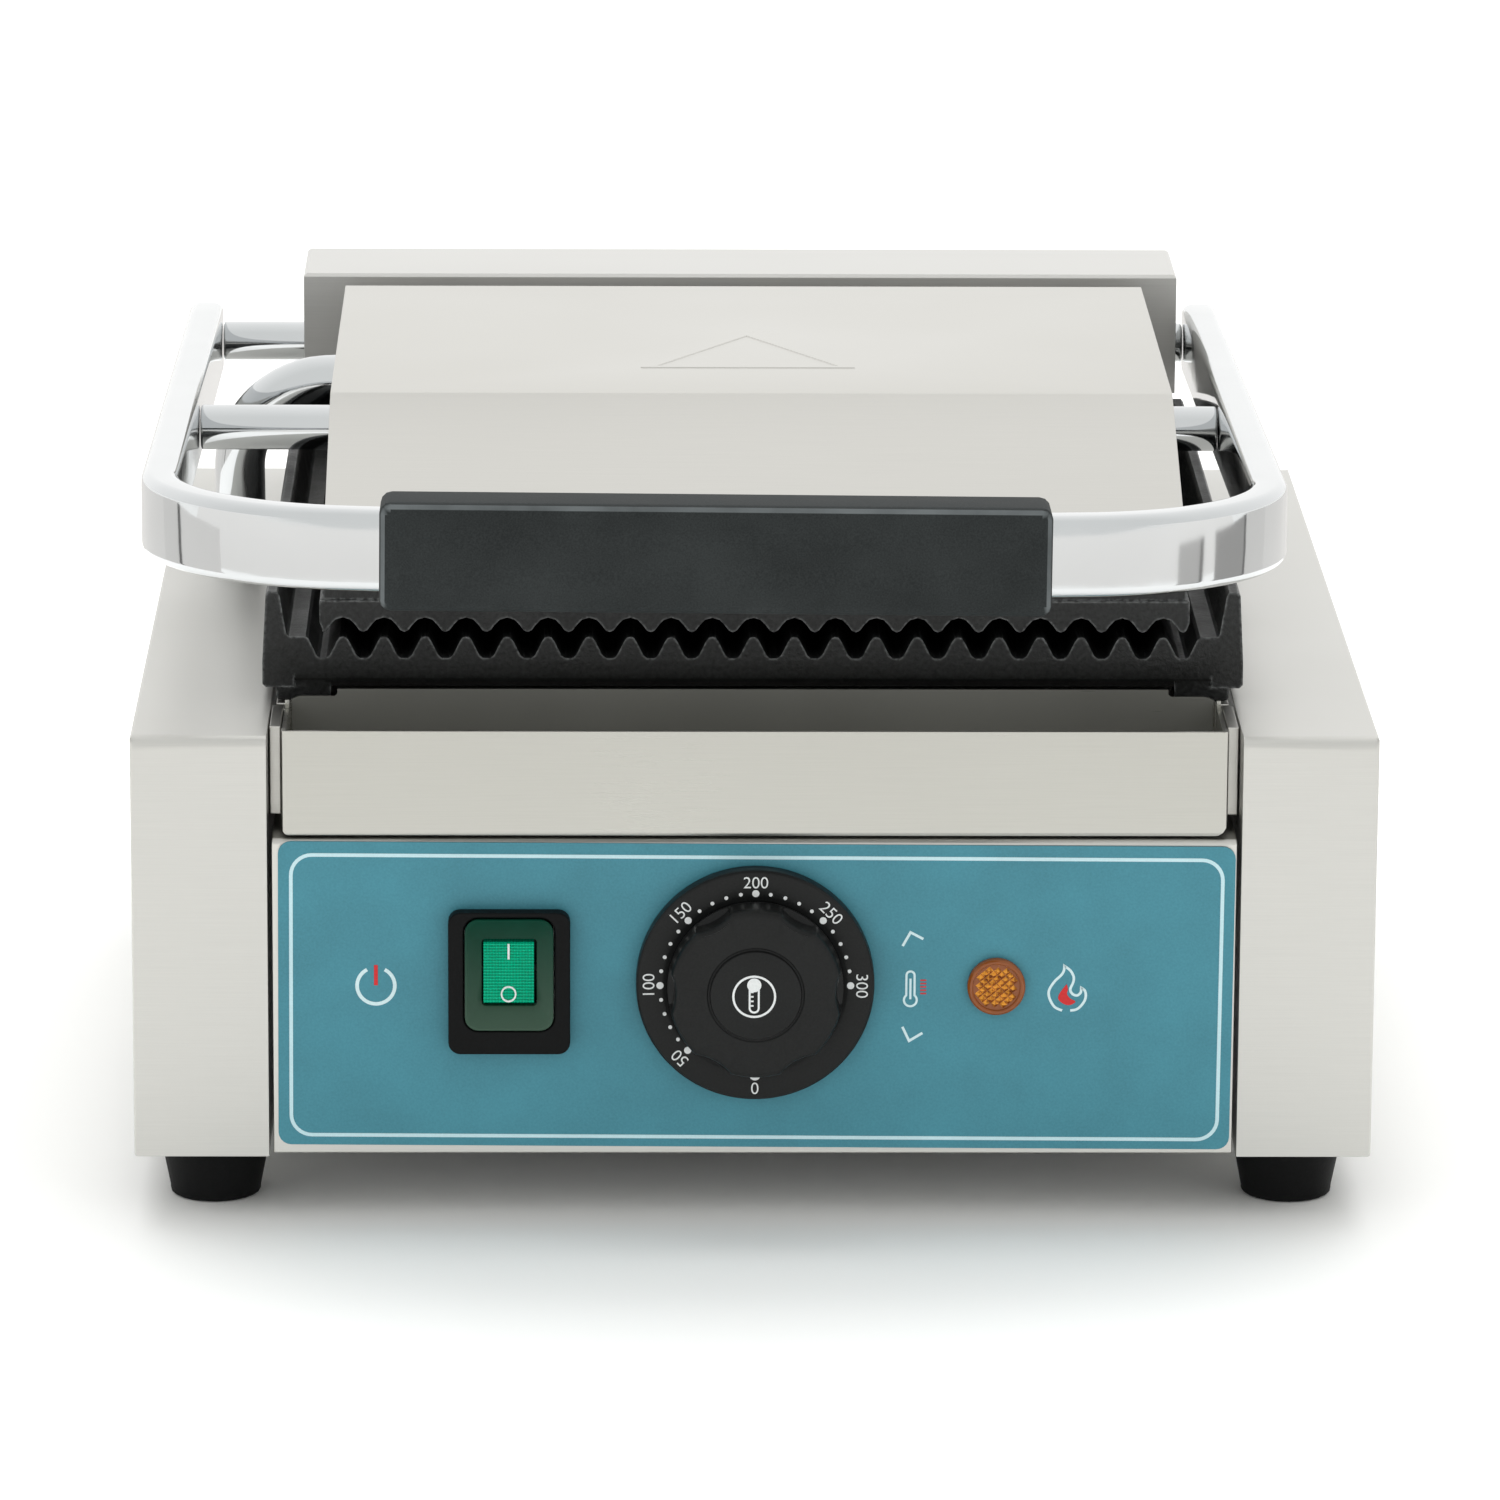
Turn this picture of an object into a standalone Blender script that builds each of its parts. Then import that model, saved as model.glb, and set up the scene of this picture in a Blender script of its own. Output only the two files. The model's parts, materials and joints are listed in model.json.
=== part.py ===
"""Single contact grill (panini press): a stainless body with a cast lower plate, a hinged lid with
the upper plate, a U-shaped chrome handle, a drip tray and a front control panel.

Shapes are written in millimetres, with X to the right, Y backwards from the body's front face and Z
up from the table. place() turns them into metres and moves them so that the origin is below the
middle of the whole object.
"""

import math

import bmesh
import bpy
from mathutils import Matrix, Vector

MM = 0.001
FRONT_Y = -128.25  # the body's front face, from the object's middle

# Body
BODY_W = 290.0
BODY_D = 290.0
FOOT_H = 15.0
COLUMN_W = 31.6
COLUMN_TOP = 116.3
SHEET = 1.2
INNER_X = BODY_W / 2 - COLUMN_W  # the columns' inner faces
MID_X = 112.3  # half width of the sheets between the columns
DECK_TOP = 115.6
LEDGE_TOP = 92.0
RISER_Y = 35.95

# Plates
PITCH = 9.65
RIDGES = 21
TRAY_Z = 92.5
PLATE_Y0 = 36.0
PLATE_Y1 = 254.0
PLATE_X = 115.5
PLATE_BOTTOM = 119.4
VALLEY = 126.5
RIDGE_TOP = 131.7
WALL_TOP = 142.6

# Lid, which hangs on the cross rod a little to the right of the middle
LID_X = 0.6
LID_HALF = 102.0
LID_Y0 = 38.0
LID_FOLD_Y = 111.5
LID_Y1 = 243.0
LID_TOP = 174.2
LID_NOSE = 146.0
LID_RIM = 143.7
UPPER_TIP = 132.8
UPPER_ARCH = 136.3
UPPER_TOP = 143.4

# Hinge tower and handle
TOWER_X = 112.5
TOWER_Y0 = 255.5
TOWER_Z0 = 143.7
TOWER_Z1 = 174.8
HINGE_Y = 272.0
HINGE_Z = 153.6
SHAFT_R = 5.1
ROD_R = 5.5
ROD_Y = 136.0
ROD_Z = 160.3
BAR_TILT = math.radians(2.5)
BAR_RISE = 0.6  # the bar's centre line passes this far above the hinge axis
BAR_TWIST = 0.0078  # the bent bar's right front corner hangs lower than its left one
BAR_X = -9.4
BAR_HALF = 128.9
BAR_REACH = 305.5
BAR_CORNER = 50.0
BAR_BOW = math.radians(6.5)
BAR_H = 18.9
BAR_T = 8.6

# Conduit: an arc about the hinge axis, so that it slides through its slot as the lid lifts
CONDUIT_R = 6.3
CONDUIT_X = -126.8
CONDUIT_ARC = 80.0
CONDUIT_BEND = 24.0
CONDUIT_TOP_ANGLE = math.radians(11.6)
CONDUIT_END_ANGLE = math.radians(94.0)
SLOT_ANGLE = math.asin((HINGE_Z - COLUMN_TOP) / CONDUIT_ARC)
SLOT_Y = HINGE_Y - CONDUIT_ARC * math.cos(SLOT_ANGLE)
SLOT_HALF = 13.2
SLOT_R = 7.1

# Controls
PANEL_FACE = -0.6
KNOB_X = 0.2
KNOB_Z = 58.2
SWITCH_X = -57.1
SWITCH_Z = 58.2
ROCKER_Z = 60.6
LAMP_X = 56.5
LAMP_Z = 57.0
GLAND_X = -75.0
GLAND_Z = 45.0


def clear_scene():
    for item in list(bpy.data.objects):
        bpy.data.objects.remove(item, do_unlink=True)


def material(name, colour, roughness, metallic):
    made = bpy.data.materials.new(name)
    made.use_nodes = True
    shader = made.node_tree.nodes["Principled BSDF"]
    shader.inputs["Base Color"].default_value = (*colour, 1.0)
    shader.inputs["Roughness"].default_value = roughness
    shader.inputs["Metallic"].default_value = metallic
    return made


def place(name, bm, made_of, pivot=(0.0, 0.0, 0.0), smooth=30.0):
    """One named object from a bmesh in millimetres, with its origin at the pivot."""
    bmesh.ops.recalc_face_normals(bm, faces=bm.faces)
    start = Vector(pivot)
    bmesh.ops.translate(bm, verts=bm.verts, vec=-start)
    bmesh.ops.scale(bm, verts=bm.verts, vec=(MM, MM, MM))
    mesh = bpy.data.meshes.new(name)
    bm.to_mesh(mesh)
    bm.free()
    mesh.shade_smooth()
    mesh.set_sharp_from_angle(angle=math.radians(smooth))
    made = bpy.data.objects.new(name, mesh)
    if made_of:
        mesh.materials.append(made_of)
    made.location = (start + Vector((0, FRONT_Y, 0))) * MM
    bpy.context.scene.collection.objects.link(made)
    return made


def cut(target, cutter, operation="DIFFERENCE"):
    """Cuts (or joins) a hidden helper into the target."""
    cutter.hide_render = True
    cutter.display_type = "WIRE"
    step = target.modifiers.new(cutter.name, "BOOLEAN")
    step.object = cutter
    step.operation = operation
    step.solver = "EXACT"


def add_box(bm, x, y, z):
    """Adds a box given as (low, high) along each axis, and returns its vertices."""
    size = (x[1] - x[0], y[1] - y[0], z[1] - z[0])
    middle = ((x[0] + x[1]) / 2, (y[0] + y[1]) / 2, (z[0] + z[1]) / 2)
    frame = Matrix.Translation(middle) @ Matrix.Diagonal((*size, 1.0))
    return bmesh.ops.create_cube(bm, size=1.0, matrix=frame)["verts"]


def bevel(bm, test, offset, segments=1):
    """Rounds the edges that pass the test, which gets the edge's two end points."""
    edges = [e for e in bm.edges if test(e.verts[0].co, e.verts[1].co)]
    bmesh.ops.bevel(bm, geom=edges, offset=offset, segments=segments, profile=0.5, affect="EDGES")


def box(name, x, y, z, made_of=None, offset=0.0, segments=1, test=None, pivot=(0, 0, 0)):
    bm = bmesh.new()
    add_box(bm, x, y, z)
    if offset:
        bevel(bm, test or (lambda a, b: True), offset, segments)
    return place(name, bm, made_of, pivot)


def add_prism(bm, outline, axis, low, high):
    """Adds an outline pulled along X, Y or Z. Its points are the other two axes in order."""

    def point(u, v, w):
        if axis == "X":
            return (w, u, v)
        if axis == "Y":
            return (u, w, v)
        return (u, v, w)

    rings = [[bm.verts.new(point(u, v, w)) for u, v in outline] for w in (low, high)]
    count = len(outline)
    for k in range(count):
        n = (k + 1) % count
        bm.faces.new((rings[0][k], rings[0][n], rings[1][n], rings[1][k]))
    bm.faces.new(rings[0])
    bm.faces.new(rings[1])


def prism(name, outline, axis, low, high, made_of=None, pivot=(0, 0, 0)):
    bm = bmesh.new()
    add_prism(bm, outline, axis, low, high)
    return place(name, bm, made_of, pivot)


def rounded(centre_u, centre_v, half_u, half_v, radius, steps=4):
    """The outline of a rectangle with rounded corners."""
    points = []
    corners = ((1, 1, 0), (-1, 1, 90), (-1, -1, 180), (1, -1, 270))
    for su, sv, start in corners:
        for k in range(steps + 1):
            angle = math.radians(start + 90 * k / steps)
            u = centre_u + su * (half_u - radius) + radius * math.cos(angle)
            v = centre_v + sv * (half_v - radius) + radius * math.sin(angle)
            points.append((u, v))
    return points


def circle(centre_u, centre_v, radius, steps=24):
    turn = 2 * math.pi / steps
    return [
        (centre_u + radius * math.cos(k * turn), centre_v + radius * math.sin(k * turn))
        for k in range(steps)
    ]


def add_lathe(bm, profile, centre, axis, steps=24, closed=False):
    """Adds a turned shape. The profile is (radius, distance along the axis from the centre)."""
    along = {"X": Vector((1, 0, 0)), "Y": Vector((0, 1, 0)), "Z": Vector((0, 0, 1))}[axis]
    side = {"X": Vector((0, 1, 0)), "Y": Vector((0, 0, 1)), "Z": Vector((1, 0, 0))}[axis]
    other = along.cross(side)
    rings = []
    for radius, distance in profile:
        base = Vector(centre) + along * distance
        if radius < 1e-6:
            rings.append([bm.verts.new(base)])
            continue
        ring = []
        for k in range(steps):
            angle = 2 * math.pi * k / steps
            ring.append(bm.verts.new(base + radius * (math.cos(angle) * side + math.sin(angle) * other)))
        rings.append(ring)
    pairs = list(zip(rings, rings[1:]))
    if closed:
        pairs.append((rings[-1], rings[0]))
    for first, second in pairs:
        if len(first) == 1 and len(second) == 1:
            continue
        for k in range(steps):
            n = (k + 1) % steps
            if len(first) == 1:
                bm.faces.new((first[0], second[n], second[k]))
            elif len(second) == 1:
                bm.faces.new((first[k], first[n], second[0]))
            else:
                bm.faces.new((first[k], first[n], second[n], second[k]))


def lathe(name, profile, centre, axis, made_of=None, steps=24, closed=False, pivot=(0, 0, 0)):
    bm = bmesh.new()
    add_lathe(bm, profile, centre, axis, steps, closed)
    return place(name, bm, made_of, pivot)


def add_sweep(bm, path, sections):
    """Joins sections along a path of (position, across, up). Each section is a list of (u, v)."""
    rings = []
    for (position, across, up), section in zip(path, sections):
        rings.append([bm.verts.new(position + across * u + up * v) for u, v in section])
    count = len(rings[0])
    for first, second in zip(rings, rings[1:]):
        for k in range(count):
            n = (k + 1) % count
            bm.faces.new((first[k], first[n], second[n], second[k]))
    bm.faces.new(rings[0])
    bm.faces.new(rings[-1])


def frames(points, start_up=(0, 0, 1)):
    """Turns points into a path whose section doesn't twist."""
    points = [Vector(p) for p in points]
    count = len(points)
    tangents = []
    for k in range(count):
        before = points[max(k - 1, 0)]
        after = points[min(k + 1, count - 1)]
        tangents.append((after - before).normalized())
    up = Vector(start_up)
    path = []
    for point, tangent in zip(points, tangents):
        up = (up - tangent * up.dot(tangent)).normalized()
        path.append((point, tangent.cross(up), up.copy()))
    return path


def add_tube(bm, points, radius, sides=12, start_up=(0, 0, 1)):
    """Adds a round bar along points. The radius is one number or one for each point."""
    path = frames(points, start_up)
    radii = radius if isinstance(radius, list) else [radius] * len(points)
    add_sweep(bm, path, [circle(0, 0, r, sides) for r in radii])


def tube(name, points, radius, made_of, sides=12, start_up=(0, 0, 1), pivot=(0, 0, 0)):
    bm = bmesh.new()
    add_tube(bm, points, radius, sides, start_up)
    return place(name, bm, made_of, pivot, smooth=50.0)


def arc_points(centre, start, end, steps):
    """Points of an arc in the plane of the vectors start and end, given as (centre, a, b)."""
    centre, start, end = Vector(centre), Vector(start), Vector(end)
    quarter = math.pi / 2
    return [
        centre + start * math.cos(quarter * k / steps) + end * math.sin(quarter * k / steps)
        for k in range(steps + 1)
    ]


clear_scene()
STEEL = material("brushed_steel", (0.62, 0.61, 0.58), 0.32, 1.0)
SPRING_STEEL = material("spring_steel", (0.35, 0.35, 0.36), 0.4, 1.0)
ZINC = material("zinc_plate", (0.55, 0.56, 0.58), 0.45, 1.0)
CHROME = material("chrome", (0.8, 0.81, 0.83), 0.08, 1.0)
CAST = material("cast_iron", (0.035, 0.036, 0.038), 0.62, 0.4)
RUBBER = material("black_rubber", (0.02, 0.02, 0.022), 0.75, 0.0)
BLACK = material("black_plastic", (0.035, 0.035, 0.037), 0.45, 0.0)
GRIP = material("grip_plastic", (0.045, 0.05, 0.055), 0.5, 0.0)
TEAL = material("teal_overlay", (0.08, 0.27, 0.33), 0.4, 0.0)
GREEN = material("green_plastic", (0.0, 0.3, 0.17), 0.3, 0.0)
AMBER = material("amber_lens", (0.6, 0.22, 0.04), 0.25, 0.0)
CERAMIC = material("ceramic", (0.8, 0.78, 0.72), 0.6, 0.0)


# ---- Body ------------------------------------------------------------------------------------


def side_housing(name, side):
    """A folded sheet box on one side, open towards the middle of the body behind the fascia."""
    low, high = sorted((side * INNER_X, side * BODY_W / 2))
    bm = bmesh.new()
    add_box(bm, (low, high), (0, BODY_D), (FOOT_H, COLUMN_TOP))
    bevel(bm, lambda a, b: a.x * side > 140 and b.x * side > 140, 0.6, 2)
    bevel(bm, lambda a, b: min(a.z, b.z) > 115 and abs(a.x - b.x) > 5, 2.4, 4)
    housing = place(name, bm, STEEL)
    room = box(
        name + "_room",
        (low + SHEET, high - SHEET),
        (SHEET, BODY_D - SHEET),
        (FOOT_H + SHEET, COLUMN_TOP - SHEET),
    )
    cut(housing, room)
    inner = sorted((side * (INNER_X - 2), side * (INNER_X + 3)))
    cut(housing, box(name + "_window", inner, (55, 270), (30, 102)))
    return housing


left_housing = side_housing("side_housing_left", -1)
side_housing("side_housing_right", 1)
slot = rounded(CONDUIT_X, SLOT_Y, SLOT_R + 1.6, SLOT_HALF + 1.6, SLOT_R + 1.5, 6)
cut(left_housing, prism("slot_cut", slot, "Z", COLUMN_TOP - 4, COLUMN_TOP + 4))


def front_fascia():
    """One folded sheet: the control panel's front, the ledge under the drip tray and the riser."""
    outline = [
        (0, FOOT_H + 0.9),
        (0, LEDGE_TOP - 1.0),
        (1.0, LEDGE_TOP),
        (RISER_Y, LEDGE_TOP),
        (RISER_Y, DECK_TOP - 1.4),
        (RISER_Y + SHEET, DECK_TOP - 1.4),
        (RISER_Y + SHEET, LEDGE_TOP - SHEET),
        (SHEET, LEDGE_TOP - SHEET),
        (SHEET, FOOT_H + 0.9 + SHEET),
        (12, FOOT_H + 0.9 + SHEET),
        (12, FOOT_H + 0.9),
    ]
    fascia = prism("front_fascia", outline, "X", -MID_X, MID_X, STEEL)
    cut(fascia, prism("fascia_knob_cut", circle(KNOB_X, KNOB_Z, 5.3, 24), "Y", -3, 5))
    cut(fascia, prism("fascia_lamp_cut", circle(LAMP_X, LAMP_Z, 5.8, 24), "Y", -3, 5))
    opening = rounded(SWITCH_X, ROCKER_Z, 10.5, 13.5, 0.5, 1)
    cut(fascia, prism("fascia_switch_cut", opening, "Y", -3, 5))


def control_overlay():
    """The printed plastic sheet that covers the control panel, stuck on a little askew."""
    outline = rounded(0, 0, 111.4, 36.7, 3.0, 5)
    lean = math.radians(0.3)
    outline = [
        (0.4 + x * math.cos(lean) + z * math.sin(lean), 54.3 + z * math.cos(lean) - x * math.sin(lean))
        for x, z in outline
    ]
    overlay = prism("control_overlay", outline, "Y", PANEL_FACE, -0.1, TEAL)
    cut(overlay, prism("overlay_knob_cut", circle(KNOB_X, KNOB_Z, 5.6, 24), "Y", -3, 3))
    cut(overlay, prism("overlay_lamp_cut", circle(LAMP_X, LAMP_Z, 5.9, 24), "Y", -3, 3))
    opening = rounded(SWITCH_X, ROCKER_Z, 10.6, 13.6, 0.5, 1)
    cut(overlay, prism("overlay_switch_cut", opening, "Y", -3, 3))


def top_deck():
    """The sheet that carries the lower plate and the hinge, open under the heating element."""
    bm = bmesh.new()
    add_box(bm, (-MID_X, MID_X), (RISER_Y, 288.4), (DECK_TOP - SHEET, DECK_TOP))
    deck = place("top_deck", bm, STEEL)
    cut(deck, box("deck_opening", (-92, 92), (56, 236), (105, 125)))


def rear_panel():
    """The back sheet between the columns, with cooling slots, the cable gland's hole and screws."""
    low = FOOT_H + 0.9
    panel = box("rear_panel", (-MID_X, MID_X), (288.8, 290.0), (low, DECK_TOP), STEEL)
    cutter = bmesh.new()
    for row in range(5):
        for start in (-30.0, 40.0):
            outline = rounded(start + 20, 55 + row * 9, 25, 1.6, 1.5, 2)
            add_prism(cutter, outline, "Y", 285, 295)
    cut(panel, place("louvre_cut", cutter, None))
    cut(panel, prism("gland_cut", circle(GLAND_X, GLAND_Z, 8.3, 24), "Y", 285, 295))
    holes = bmesh.new()
    for x in (-104.0, 104.0):
        for z in (26.0, 106.0):
            add_prism(holes, circle(x, z, 2.0, 12), "Y", 285, 295)
    cut(panel, place("screw_cut", holes, None))
    index = 1
    for x in (-104.0, 104.0):
        for z in (26.0, 106.0):
            profile = [(0, 2.2), (1.6, 2.1), (2.9, 1.5), (3.5, 0.1), (1.8, 0.1), (1.8, -5.0), (0, -5.0)]
            lathe(f"rear_screw_{index}", profile, (x, 290.0, z), "Y", ZINC, 12)
            index += 1


def bottom_cover():
    low = FOOT_H + 0.9
    cover = box("bottom_cover", (-MID_X, MID_X), (12.3, 288.4), (low, low + SHEET), ZINC)
    cutter = bmesh.new()
    for row in range(6):
        for x in (-50.0, 50.0):
            outline = rounded(x, 90 + row * 20, 30, 2.0, 1.9, 2)
            add_prism(cutter, outline, "Z", low - 5, low + 5)
    cut(cover, place("vent_cut", cutter, None))


def foot(name, x, y):
    """A rubber foot, a little narrower at the floor."""
    profile = [(0, 0), (10.3, 0), (10.7, 0.5), (10.7, 1.4), (13.3, FOOT_H - 0.3), (0, FOOT_H - 0.3)]
    lathe(name, profile, (x, y, 0), "Z", RUBBER, 24)


front_fascia()
control_overlay()
top_deck()
rear_panel()
bottom_cover()
for foot_name, foot_x, foot_y in (
    ("foot_front_left", -127, 23),
    ("foot_front_right", 127, 23),
    ("foot_rear_left", -127, 267),
    ("foot_rear_right", 127, 267),
):
    foot(foot_name, foot_x, foot_y)


def cable_gland():
    """The inlet in the back panel. The object is stored without its cord."""
    profile = [(8.0, -8), (8.0, 0.2), (10.5, 0.2), (10.5, 4.5), (8.6, 8.0), (4.2, 8.0), (4.2, -8)]
    lathe("cable_gland", profile, (GLAND_X, 290.0, GLAND_Z), "Y", BLACK, 24, True)
    bm = bmesh.new()
    add_prism(bm, circle(GLAND_X, GLAND_Z, 11.5, 6), "Y", 284.0, 288.6)
    nut = place("gland_locknut", bm, BLACK)
    cut(nut, prism("locknut_cut", circle(GLAND_X, GLAND_Z, 8.2, 24), "Y", 280, 292))


def terminal_block():
    """A ceramic strip with four raised terminals, on the bottom cover near the gland."""
    outline = [(-46.0, 17.4), (-46.0, 31.0)]
    for k in range(4):
        right = -48.0 - k * 12.0
        outline += [(right, 31.0), (right, 36.0), (right - 8.0, 36.0), (right - 8.0, 31.0)]
    outline += [(-94.0, 31.0), (-94.0, 17.4)]
    prism("terminal_block", outline, "Y", 228, 246, CERAMIC)


cable_gland()
terminal_block()


# ---- Lower plate ---------------------------------------------------------------------------------


def ridge_points(centre, valley, top):
    """One rounded ridge of the lower plate, from left to right."""
    return [
        (centre - 4.0, valley),
        (centre - 3.1, valley + 0.75),
        (centre - 1.45, top - 1.1),
        (centre - 0.8, top - 0.2),
        (centre, top),
        (centre + 0.8, top - 0.2),
        (centre + 1.45, top - 1.1),
        (centre + 3.1, valley + 0.75),
        (centre + 4.0, valley),
    ]


def lower_plate():
    """The cast plate: ridges from front to back, a ledge and a wall on each side, a wall at the back."""
    left = [
        (-PLATE_X, PLATE_BOTTOM + 0.8),
        (-PLATE_X, PLATE_BOTTOM + 6),
        (-PLATE_X + 0.9, WALL_TOP - 0.8),
        (-PLATE_X + 1.5, WALL_TOP),
        (-PLATE_X + 3.5, WALL_TOP),
        (-PLATE_X + 4.2, WALL_TOP - 1.0),
        (-PLATE_X + 5.7, RIDGE_TOP + 0.6),
        (-PLATE_X + 6.3, RIDGE_TOP),
        (-105.3, RIDGE_TOP),
        (-104.6, RIDGE_TOP - 0.5),
        (-102.6, VALLEY + 0.4),
        (-101.9, VALLEY),
    ]
    first = -PITCH * (RIDGES - 1) / 2
    ridges = []
    for k in range(RIDGES):
        ridges += ridge_points(first + k * PITCH, VALLEY, RIDGE_TOP)
    right = [(-x, z) for x, z in reversed(left)]
    base = [(PLATE_X - 0.8, PLATE_BOTTOM), (-PLATE_X + 0.8, PLATE_BOTTOM)]
    outline = left + ridges + right + base
    bm = bmesh.new()
    add_prism(bm, outline, "Y", PLATE_Y0, PLATE_Y1)
    plate = place("lower_plate", bm, CAST, smooth=24.0)
    wall = [
        (PLATE_Y1 - 5.6, VALLEY - 3),
        (PLATE_Y1 - 4.1, WALL_TOP - 1),
        (PLATE_Y1 - 3.5, WALL_TOP - 0.1),
        (PLATE_Y1 - 1.2, WALL_TOP - 0.1),
        (PLATE_Y1 - 0.5, WALL_TOP - 1),
        (PLATE_Y1 - 0.1, VALLEY - 3),
    ]
    cut(plate, prism("plate_rear_wall", wall, "X", -PLATE_X + 2.2, PLATE_X - 2.2), "UNION")
    under = [(PLATE_Y0 - 5, 115), (PLATE_Y0 - 5, 122.9), (PLATE_Y0, 122.9), (PLATE_Y0 + 3.6, 115)]
    cut(plate, prism("plate_undercut", under, "X", -108, 108))
    feet = bmesh.new()
    for sx in (-1, 1):
        for y in (PLATE_Y0 + 0.8, PLATE_Y1 - 19):
            low, high = sorted((sx * 99.4, sx * 112.3))
            foot_z = (DECK_TOP + 0.3, PLATE_BOTTOM + 2.5)
            leg = add_box(feet, (low, high), (y, y + 15), foot_z)
            own = set(leg)
            edges = [e for e in feet.edges if set(e.verts) <= own]
            edges = [e for e in edges if max(v.co.z for v in e.verts) < PLATE_BOTTOM]
            bmesh.ops.bevel(feet, geom=edges, offset=1.3, segments=2, profile=0.5, affect="EDGES")
    cut(plate, place("plate_feet", feet, None), "UNION")


def element_path(half, y0, y1, z, drop):
    """A flat loop of tubular heater with both ends bent down, or up, at the back."""
    bend = half / 3
    turn = math.copysign(9.0, drop)
    points = [Vector((-half, y1, z - drop))]
    points += arc_points((-half, y1 - 9, z - turn), (0, 9, 0), (0, 0, turn), 4)
    points += arc_points((-half + bend, y0 + bend, z), (-bend, 0, 0), (0, -bend, 0), 5)
    points += arc_points((-half + bend, y0 + bend, z), (0, -bend, 0), (bend, 0, 0), 5)[1:]
    points += arc_points((0, y1 - 38 - bend, z), (-bend, 0, 0), (0, bend, 0), 5)
    points += arc_points((0, y1 - 38 - bend, z), (0, bend, 0), (bend, 0, 0), 5)[1:]
    points += arc_points((half - bend, y0 + bend, z), (-bend, 0, 0), (0, -bend, 0), 5)
    points += arc_points((half - bend, y0 + bend, z), (0, -bend, 0), (bend, 0, 0), 5)[1:]
    points += arc_points((half, y1 - 9, z - turn), (0, 0, turn), (0, 9, 0), 4)
    points.append(Vector((half, y1, z - drop)))
    return points


def heat_shield(name, x, y, z, open_top, holes, pivot=(0, 0, 0)):
    """A shallow sheet pan with round holes in its floor, open at the top or turned over."""
    pan = box(name, x, y, z, ZINC, pivot=pivot)
    inside_z = (z[0] + 0.8, z[1] + 5) if open_top else (z[0] - 5, z[1] - 0.8)
    inside_x = (x[0] + 0.8, x[1] - 0.8)
    inside_y = (y[0] + 0.8, y[1] - 0.8)
    cut(pan, box(name + "_room", inside_x, inside_y, inside_z))
    floor = z[0] if open_top else z[1]
    cutter = bmesh.new()
    for hole_x, hole_y, radius in holes:
        add_prism(cutter, circle(hole_x, hole_y, radius, 12), "Z", floor - 3, floor + 3)
    cut(pan, place(name + "_holes", cutter, None))


lower_plate()
LOWER_ELEMENT_Z = PLATE_BOTTOM - 0.4 - 3.2
lower_path = element_path(78, 72, 214, LOWER_ELEMENT_Z, 26)
tube("lower_element", lower_path, 3.2, SPRING_STEEL, 8, (1, 0, 0))
lower_holes = [(-78.0, 214.0, 5.0), (78.0, 214.0, 5.0), (52.0, 95.6, 3.0)]
heat_shield("lower_heat_shield", (-94, 94), (54, 238), (106.4, 114.1), True, lower_holes)


# ---- Drip tray -----------------------------------------------------------------------------------


def drip_tray():
    """A long open trough that stands on the ledge and slides out forwards."""
    bm = bmesh.new()
    add_box(bm, (-110, 110), (0.0, 34.5), (TRAY_Z, 119.6))
    bevel(bm, lambda a, b: max(a.z, b.z) < 93 or max(a.y, b.y) < 1 and abs(a.x - b.x) < 1, 1.2, 2)
    tray = place("drip_tray", bm, STEEL, (0, 0, TRAY_Z))
    low = bmesh.new()
    for side, radius in ((-1, 2.4), (1, 3.8)):
        outline = [(side * 112, TRAY_Z + radius), (side * 112, TRAY_Z - 2), (side * (110 - radius), TRAY_Z - 2)]
        for k in range(5):
            angle = math.radians(22.5 * k)
            reach_x, reach_z = radius * math.sin(angle), radius * math.cos(angle)
            outline.append((side * (110 - radius + reach_x), TRAY_Z + radius - reach_z))
        add_prism(low, outline, "Y", -5, 40)
    cut(tray, place("tray_low_corners", low, None))
    room = (-109, 109), (1.0, 33.5), (TRAY_Z + 1, 130)
    cut(tray, box("tray_room", *room, None, 0.8, 1, lambda a, b: max(a.z, b.z) < 100))
    side = [(3.2, 125), (3.2, 117.0), (5.0, 116.0), (28.0, 116.0), (30.0, 117.0), (30.0, 125)]
    cut(tray, prism("tray_side_dip", side, "X", -120, 120))
    cut(tray, box("tray_front_height", (-120, 120), (-5, 31.8), (117.8, 128)))
    corners = bmesh.new()
    for side in (-1, 1):
        outline = [(side * 115, 125), (side * 115, 113.9)]
        for k in range(6):
            angle = math.radians(18 * k)
            outline.append((side * (106.1 + 4 * math.cos(angle)), 113.9 + 4 * math.sin(angle)))
        outline += [(side * 98.4, 117.9), (side * 97.8, 118.5), (side * 97.8, 125)]
        add_prism(corners, outline, "Y", 31.0, 40.0)
    cut(tray, place("tray_rear_corners", corners, None))


def tray_guide(name, side):
    """An upright strip in the gap between the tray and the column."""
    low, high = sorted((side * 110.4, side * 113.1))
    box(name, (low, high), (12.0, 33.0), (94.8, DECK_TOP + 0.3), STEEL)


drip_tray()
tray_guide("tray_guide_left", -1)
tray_guide("tray_guide_right", 1)


# ---- Hinge tower ---------------------------------------------------------------------------------


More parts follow.
